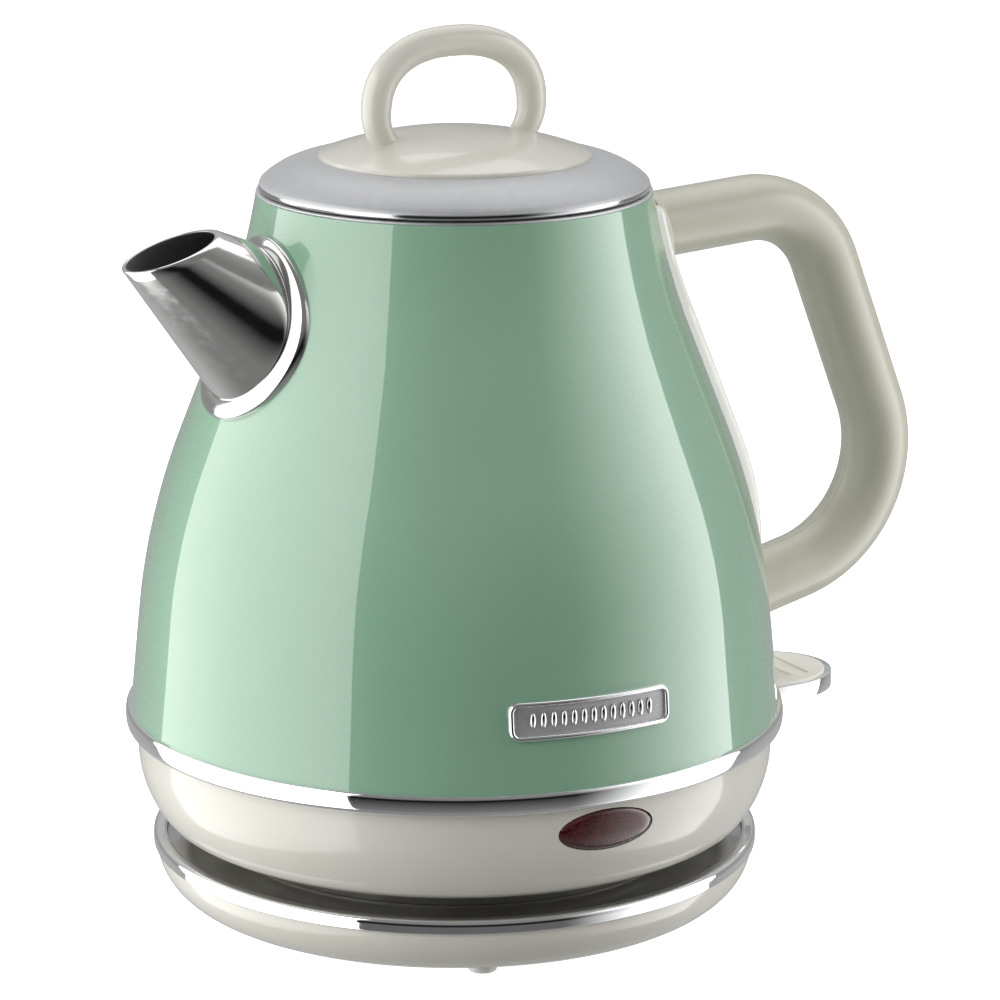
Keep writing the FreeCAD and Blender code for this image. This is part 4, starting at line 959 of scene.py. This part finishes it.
# parts that keep the CAD shape get merged, cleaned and given soft edges
def softened(name, nodeNames, body, material, edge=0.25, angle=35, cutters=()):
    work = bmesh.new()
    for nodeName in nodeNames:
        mesh = cadNodes[nodeName].data.copy()
        mesh.transform(cadNodes[nodeName].matrix_world)
        work.from_mesh(mesh)
        bpy.data.meshes.remove(mesh)
    bmesh.ops.remove_doubles(work, verts=work.verts, dist=2e-6)
    bmesh.ops.dissolve_limit(work, angle_limit=math.radians(1.5), verts=work.verts, edges=work.edges)
    mesh = bpy.data.meshes.new(name)
    work.to_mesh(mesh)
    work.free()
    piece = newObject(name, mesh)
    if cutters:
        carve(piece, *cutters)
    if edge:
        modifier = piece.modifiers.new("softEdge", "BEVEL")
        modifier.width, modifier.segments = edge * mm, 2
        modifier.limit_method, modifier.angle_limit = "ANGLE", math.radians(angle)
        modifier.use_clamp_overlap = True
        applyAll(piece)
    return finishPiece(piece, body, material, nodeNames, angle)


softParts = {
    "neck_sleeve": (["neck_ring"], "kettle", satinSteel, "satin_steel", 0.3),
    "vessel_base_plate": (["vessel_floor"], "kettle", wallSteel, "satin_steel", 0.2),
    "heater_plate": (["heat_plate"], "kettle", heaterMetal, "heater_aluminium", 0.4),
    "heater_tube": (["heating_element"], "kettle", heaterMetal, "heater_aluminium", 0.0),
    "control_housing": (["control_body"], "kettle", darkPlastic, "dark_plastic", 0.6),
    "kettle_underside": (["bottom_cover"], "kettle", creamGloss, "cream_plastic", 0.3),
    "kettle_socket": (["kettle_connector"], "connector", darkPlastic, "dark_plastic", 0.3),
    "socket_pin": (["connector_pin"], "connector", brassContact, "brass_contact", 0.5),
    "base_plug": (["base_connector"], "base", darkPlastic, "dark_plastic", 0.4),
    "base_contact_rings": (["base_contacts"], "base", brassContact, "brass_contact", 0.15),
    "base_wire_block": (["terminal_block"], "base", creamGloss, "dark_plastic", 0.5),
    "base_top_deck": (["base_deck"], "base", deckSteel, "dark_plastic", 0.3),
    "base_underside": (["base_bottom_cover"], "base", darkPlastic, "dark_plastic", 0.3),
    "trip_lever": (["trip_rocker"], "rocker", darkPlastic, "dark_plastic", 0.3),
    "trip_stand": (["rocker_stand"], "kettle", darkPlastic, "dark_plastic", 0.3),
    "switch_holder": (["switch_cradle"], "kettle", darkPlastic, "dark_plastic", 0.3),
    "lid_inner_liner": (["lid_liner"], "lid", filterPlastic, "filter_plastic", 0.3),
    "lid_seal": (["lid_gasket"], "lid", sealRubber, "seal_rubber", 0.4),
    "filter_surround": (["filter_frame"], "filter", filterPlastic, "filter_plastic", 0.3),
}
for name, (nodeNames, body, material, slotName, edge) in softParts.items():
    softened(name, nodeNames, body, material, edge)
print("inner parts made")

# switch: a bright paddle with a grooved pad
padSize = {"highZ": 45.1, "grooveDeep": 1.3, "grooveWide": 1.0, "firstX": 97.4, "gap": 5.6, "long": 9.6}
softened("switch_paddle", ["switch_lever"], "switch", brightChrome, 0.9)
grooves = []
for shift in (0, padSize["gap"]):
    middle, half = padSize["firstX"] + shift, padSize["grooveWide"] / 2
    low = (middle - half, -padSize["long"], padSize["highZ"] - padSize["grooveDeep"])
    grooves.append(boxCutter("grooveTool", low, (middle + half, padSize["long"], padSize["highZ"] + 1)))
softened("switch_grip_pad", ["switch_pad"], "switch", padCream, 0.15, cutters=grooves)
print("switch made")


def makeScatterTree():
    # one item set on every point, its own Z turned to the point's facing
    tree, given, out = newTree("setOnPoints", ("Item", "Object"), ("Material", "Material"))
    item = addNode(tree, "GeometryNodeObjectInfo", {"Object": given["Item"]}, transform_space="ORIGINAL")
    facing = addNode(tree, "GeometryNodeInputNamedAttribute", {"Name": "facing"}, data_type="FLOAT_VECTOR")
    turned = addNode(tree, "FunctionNodeAlignRotationToVector", {"Vector": facing.outputs[0]}, axis="Z")
    upright = addNode(tree, "FunctionNodeAlignRotationToVector", {"Rotation": turned.outputs[0],
                                                                  "Vector": (0.0, 0.0, 1.0)},
                      axis="Y", pivot_axis="Z")
    placed = addNode(tree, "GeometryNodeInstanceOnPoints", {"Points": given["Geometry"],
                                                            "Instance": item.outputs["Geometry"],
                                                            "Rotation": upright.outputs[0]})
    return endTree(tree, placed.outputs[0], given, out)


scatterTree = makeScatterTree()


def setOnPoints(name, spots, facings, item, material):
    holder = meshFrom(name, [spot * mm for spot in spots], [])
    facing = holder.data.attributes.new("facing", "FLOAT_VECTOR", "POINT")
    for place, direction in zip(facing.data, facings):
        place.vector = direction
    runTree(holder, scatterTree, {"Item": item, "Material": material})
    bpy.data.objects.remove(item)
    return holder


def ringSpots(radius, height, count, firstTurn):
    turns = [math.radians(firstTurn + 360 * index / count) for index in range(count)]
    return [Vector((radius * math.cos(turn), radius * math.sin(turn), height)) for turn in turns]


def screwItem(size):
    # round head below the seat, threaded shank above it
    steps = [(0, -size["head"]), (size["headR"] * 0.5, -size["head"] * 0.96, 9),
             (size["headR"] - 0.05, -size["head"] * 0.35, size["headR"]), (size["headR"], 0, 0, 0.1),
             (size["shankR"], 0)]
    height = 0.6
    while height < size["long"] - 1.6:
        steps += [(size["shankR"], height), (size["shankR"] - 0.25, height + 0.4)]
        height += 0.8
    steps += [(size["shankR"] - 0.25, size["long"] - 1.2), (0.3, size["long"]), (0, size["long"])]
    item = cleanSurface(turnedPiece("screwItem", outline(steps, 0.4, closed=False), screwSteel, 40))
    reach, half = size["headR"] * 0.62, 0.26  # a cross recess
    for wide, deep in ((reach, half), (half, reach)):
        carve(item, boxCutter("recessTool", (-wide, -deep, -size["head"] - 1),
                              (wide, deep, -size["head"] * 0.35)))
    return item


screwSizes = {
    "base_cover_screws": {"head": 1.2, "headR": 2.8, "shankR": 1.4, "long": 8.0},
    "kettle_cover_screws": {"head": 1.2, "headR": 2.8, "shankR": 1.4, "long": 8.0},
    "lid_cap_screws": {"head": 1.8, "headR": 3.0, "shankR": 1.5, "long": 5.0},
}
screwSpots = {
    "base_cover_screws": (ringSpots(50, 3.0, 4, -67), "base", "base_screws"),
    "kettle_cover_screws": (ringSpots(40, 20.8, 3, 90), "kettle", "bottom_cover_screws"),
    "lid_cap_screws": (ringSpots(18, 195.2, 2, 0), "lid", "lid_screws"),
}
for name, (spots, body, nodeName) in screwSpots.items():
    made = setOnPoints(name, spots, [(0, 0, 1)] * len(spots), screwItem(screwSizes[name]), screwSteel)
    finishPiece(made, body, screwSteel, [nodeName], angle=30)
print("screws made")

# feet under the base, and the ribbed gland at its back
footSize = {"r": 3.6, "highZ": 1.8, "ring": 66.0, "firstTurn": -112.0, "soft": 0.5}
footLine = outline([(0, 0.12), (1.1, 0.12), (1.3, 0), (2.1, 0), (2.25, 0.22), (2.45, 0.22), (2.6, 0),
                    (footSize["r"], 0, 0, footSize["soft"]), (footSize["r"], footSize["highZ"]),
                    (0, footSize["highZ"])], 0.4, closed=False)
footSpots = ringSpots(footSize["ring"], 0, 4, footSize["firstTurn"])
baseFeet = setOnPoints("rubber_feet", footSpots, [(0, 0, 1)] * len(footSpots),
                       cleanSurface(turnedPiece("footItem", footLine, footRubber, 64)), footRubber)
finishPiece(baseFeet, "base", footRubber, ["base_feet"], angle=40)

glandSize = {"r": 5.0, "bore": 3.5, "long": 10.4, "startY": 67.6, "height": 8.4, "rib": 0.45}
glandLine = outline([(glandSize["bore"], 0, 0, 0.2), (glandSize["r"], 0), (glandSize["r"], 8.5),
                     (glandSize["r"] - glandSize["rib"], 8.7), (glandSize["r"] - glandSize["rib"], 9.0),
                     (glandSize["r"], 9.2), (glandSize["r"], 9.7, 0, 0.1),
                     (glandSize["r"] - glandSize["rib"], glandSize["long"], 0.8),
                     (glandSize["bore"] + 0.3, glandSize["long"]),
                     (glandSize["bore"], glandSize["long"] - 0.4)], 0.5)
cordGland = turnedPiece("cord_outlet_gland", glandLine, sealRubber, 64)
cordGland.data.transform(Matrix.Translation((0, glandSize["startY"] * mm, glandSize["height"] * mm))
                         @ Matrix.Rotation(-math.pi / 2, 4, "X"))
finishPiece(cordGland, "base", sealRubber, ["cord_gland"], angle=35)
print("feet and gland made")

# filter: wires woven one over the other, bent like the wall they sit behind
weaveSize = {"wires": 31, "reach": 18.3, "wire": 0.16, "lift": 0.08, "inward": -2.3}


def makeWeaveTree():
    tree, given, out = newTree("wovenWires", ("Wire", "Float"), ("Lift", "Float"), ("Facing", "Vector"),
                               ("Material", "Material"))
    side = addNode(tree, "GeometryNodeInputNamedAttribute", {"Name": "side"}, data_type="FLOAT").outputs[0]
    amount = mathOf(tree, "MULTIPLY", side, given["Lift"])
    lift = addNode(tree, "ShaderNodeVectorMath", {0: given["Facing"], "Scale": amount}, operation="SCALE")
    moved = addNode(tree, "GeometryNodeSetPosition", {"Geometry": given["Geometry"],
                                                      "Offset": lift.outputs[0]})
    curves = addNode(tree, "GeometryNodeMeshToCurve", {"Mesh": moved.outputs[0]})
    ring = addNode(tree, "GeometryNodeCurvePrimitiveCircle", {"Resolution": 6, "Radius": given["Wire"]})
    tubes = addNode(tree, "GeometryNodeCurveToMesh", {"Curve": curves.outputs[0],
                                                      "Profile Curve": ring.outputs[0]})
    return endTree(tree, tubes.outputs[0], given, out)


wirePlaces, wireSpots, wireSides = {}, [], []
for row in range(weaveSize["wires"]):
    for column in range(weaveSize["wires"]):
        across, up = [(place / (weaveSize["wires"] - 1) * 2 - 1) * weaveSize["reach"]
                      for place in (row, column)]
        if math.hypot(across, up) > weaveSize["reach"]:
            continue
        wirePlaces[row, column] = len(wireSpots)
        wireSpots.append(meetWall(collarAt + sideways * across + collarUp * up, collarOut,
                                  weaveSize["inward"]))
        wireSides.append(1 if (row + column) % 2 else -1)
wireLinks = [(index, wirePlaces[follow]) for (row, column), index in wirePlaces.items()
             for follow in ((row + 1, column), (row, column + 1)) if follow in wirePlaces]
filterWeave = meshFrom("filter_weave", [spot * mm for spot in wireSpots], [], wireLinks)
sideValues = filterWeave.data.attributes.new("side", "FLOAT", "POINT")
for place, side in zip(sideValues.data, wireSides):
    place.value = side
runTree(filterWeave, makeWeaveTree(), {"Wire": weaveSize["wire"] * mm, "Lift": weaveSize["lift"] * mm,
                                       "Facing": tuple(collarOut), "Material": screwSteel})
finishPiece(filterWeave, "filter", screwSteel, ["filter_mesh"], angle=60)
print("filter made")

# badge: a row of plain upright beads on its field
studSize = {"count": 13, "gap": 2.6, "wide": 0.80, "tall": 2.1, "proud": 0.75, "sink": 0.6}
studLine = outline([(0, -0.2), (1, -0.2), (1, 0), (0.86, 0.5, 1.0), (0, 1, 1.2)], 0.15, closed=False)
studItem = cleanSurface(turnedPiece("studItem", studLine, brightChrome, 24))
studItem.data.transform(Matrix.Diagonal((studSize["wide"], studSize["tall"], studSize["proud"], 1)))
studSpots = [radialSpot(badgeSize["turn"], (index - (studSize["count"] - 1) / 2) * studSize["gap"],
                        badgeSize["height"], studSize["sink"], bodyRadius)
             for index in range(studSize["count"])]
badgeStuds = setOnPoints("badge_studs", studSpots, [(spot.x, spot.y, 0) for spot in studSpots], studItem,
                         brightChrome)
finishPiece(badgeStuds, "kettle", brightChrome, angle=50)
print("badge studs made")

# floor, backdrop, lights and camera
studio = {"azimuth": -28.0, "elevation": 14.29, "distance": 1.039, "lookHeight": 0.1033, "lens": 145.3,
          "shift": 0.0455, "sensor": 36}


def aroundCamera(turn, rise, away):
    # a place seen from the kettle: turn degrees to the right of the camera, rise above the horizon
    angle, lift = math.radians(studio["azimuth"] + turn), math.radians(rise)
    return Vector((math.sin(angle) * math.cos(lift), -math.cos(angle) * math.cos(lift),
                   math.sin(lift))) * away


def softBox(name, turn, rise, away, wide, tall, glow, fade=0.0, aim=0.09, mirrored=True):
    light = bpy.data.lights.new(name, "AREA")
    light.shape = "RECTANGLE"
    light.size, light.size_y = wide, tall
    light.energy = glow * math.pi * wide * tall
    made = bpy.data.objects.new(name, light)
    scene.collection.objects.link(made)
    target = Vector((0, 0, aim))
    made.location = target + aroundCamera(turn, rise, away)
    made.rotation_mode = "QUATERNION"
    made.rotation_quaternion = (target - made.location).to_track_quat("-Z", "Y")
    made.visible_camera = False
    made.visible_glossy = mirrored
    if fade:  # one side dims softly over this share of its width
        light.use_nodes = True
        tree = light.node_tree
        spot = addNode(tree, "ShaderNodeNewGeometry").outputs["Parametric"]
        across = addNode(tree, "ShaderNodeSeparateXYZ", {"Vector": spot}).outputs["X"]
        dimmed = addNode(tree, "ShaderNodeMapRange", {"Value": across, "From Min": 0.0, "From Max": fade},
                         interpolation_type="SMOOTHSTEP")
        tree.links.new(dimmed.outputs[0], tree.nodes["Emission"].inputs["Strength"])


boxes = {
    "leftBox": {"turn": -76, "rise": 0, "away": 0.55, "wide": 0.99, "tall": 1.10, "glow": 2.1},
    "rightBox": {"turn": 72, "rise": 0, "away": 0.55, "wide": 0.76, "tall": 1.10, "glow": 3.0, "fade": 1.0},
    "topBox": {"turn": 170, "rise": 66, "away": 1.00, "wide": 1.10, "tall": 0.90, "glow": 1.0},
    "frontFill": {"turn": 0, "rise": 34, "away": 1.20, "wide": 1.00, "tall": 0.80, "glow": 1.15,
                  "mirrored": False},
}
for name, box in boxes.items():
    softBox(name, **box)

floorSize = {"reach": 4.0, "deep": (0.80, 0.80, 0.80), "pale": (0.84, 0.84, 0.84), "rough": 0.9, "glow": 0.90}
floorCorners = [(sideX * floorSize["reach"], sideY * floorSize["reach"], 0)
                for sideX, sideY in ((-1, -1), (1, -1), (1, 1), (-1, 1))]
floor = meshFrom("studioFloor", floorCorners, [(0, 1, 2, 3)])
floorLook, floorTree, floorShader, floorCoords = startMaterial("paleFloor", Roughness=floorSize["rough"])
floorShade = rangeOf(floorTree, noiseOf(floorTree, floorCoords, 3.0), 0, 1)
floorTree.links.new(mixColour(floorTree, floorShade, floorSize["deep"], floorSize["pale"]),
                    floorShader.inputs["Base Color"])
floorShader.inputs["Emission Color"].default_value = (1, 1, 1, 1)
floorShader.inputs["Emission Strength"].default_value = floorSize["glow"]
floor.visible_glossy = False  # reflections show the room and the softboxes below it
floor.visible_diffuse = False
floor.data.materials.append(floorLook)

# the room is white where it is seen, and dim where it lights the kettle: least in front
world = bpy.data.worlds.new("studioWorld")
scene.world = world
world.use_nodes = True
sky = world.node_tree
backdrop = sky.nodes["Background"]
room = {"behind": 0.42, "front": 0.012, "backEnd": -0.75, "frontEnd": 0.35, "above": 0.28, "aboveFrom": 0.12,
        "aboveTo": 0.42, "below": 0.30, "belowFrom": -0.10, "belowTo": -0.60}
seenByCamera = addNode(sky, "ShaderNodeLightPath").outputs["Is Camera Ray"]
towards = addNode(sky, "ShaderNodeTexCoord").outputs["Generated"]
facing = addNode(sky, "ShaderNodeVectorMath", {0: towards, 1: tuple(aroundCamera(0, 0, 1))},
                 operation="DOT_PRODUCT").outputs["Value"]
level = addNode(sky, "ShaderNodeMapRange", {"Value": facing, "From Min": room["backEnd"],
                                            "From Max": room["frontEnd"], "To Min": room["behind"],
                                            "To Max": room["front"]}, interpolation_type="SMOOTHSTEP")
lifted = addNode(sky, "ShaderNodeSeparateXYZ", {"Vector": towards}).outputs["Z"]
upper = rangeOf(sky, lifted, 0.0, room["above"], room["aboveFrom"], room["aboveTo"])
lower = rangeOf(sky, lifted, room["below"], 0.0, room["belowTo"], room["belowFrom"])
strength = mathOf(sky, "ADD", level.outputs[0], mathOf(sky, "ADD", lower, upper))
dim = addNode(sky, "ShaderNodeBackground", {"Strength": strength})
backdrop.inputs["Color"].default_value = (1, 1, 1, 1)
backdrop.inputs["Strength"].default_value = 1.0
seen = addNode(sky, "ShaderNodeMixShader", {0: seenByCamera, 1: dim.outputs[0], 2: backdrop.outputs[0]})
sky.links.new(seen.outputs[0], sky.nodes["World Output"].inputs["Surface"])
scene.view_settings.view_transform = "Standard"

cameraData = bpy.data.cameras.new("studioCamera")
camera = bpy.data.objects.new("studioCamera", cameraData)
scene.collection.objects.link(camera)
cameraData.lens, cameraData.sensor_width = studio["lens"], studio["sensor"]
cameraData.shift_x = studio["shift"]
lookAt = Vector((0, 0, studio["lookHeight"]))
camera.location = lookAt + aroundCamera(0, studio["elevation"], studio["distance"])
camera.rotation_mode = "QUATERNION"
camera.rotation_quaternion = (lookAt - camera.location).to_track_quat("-Z", "Y")
scene.camera = camera
print("studio made")
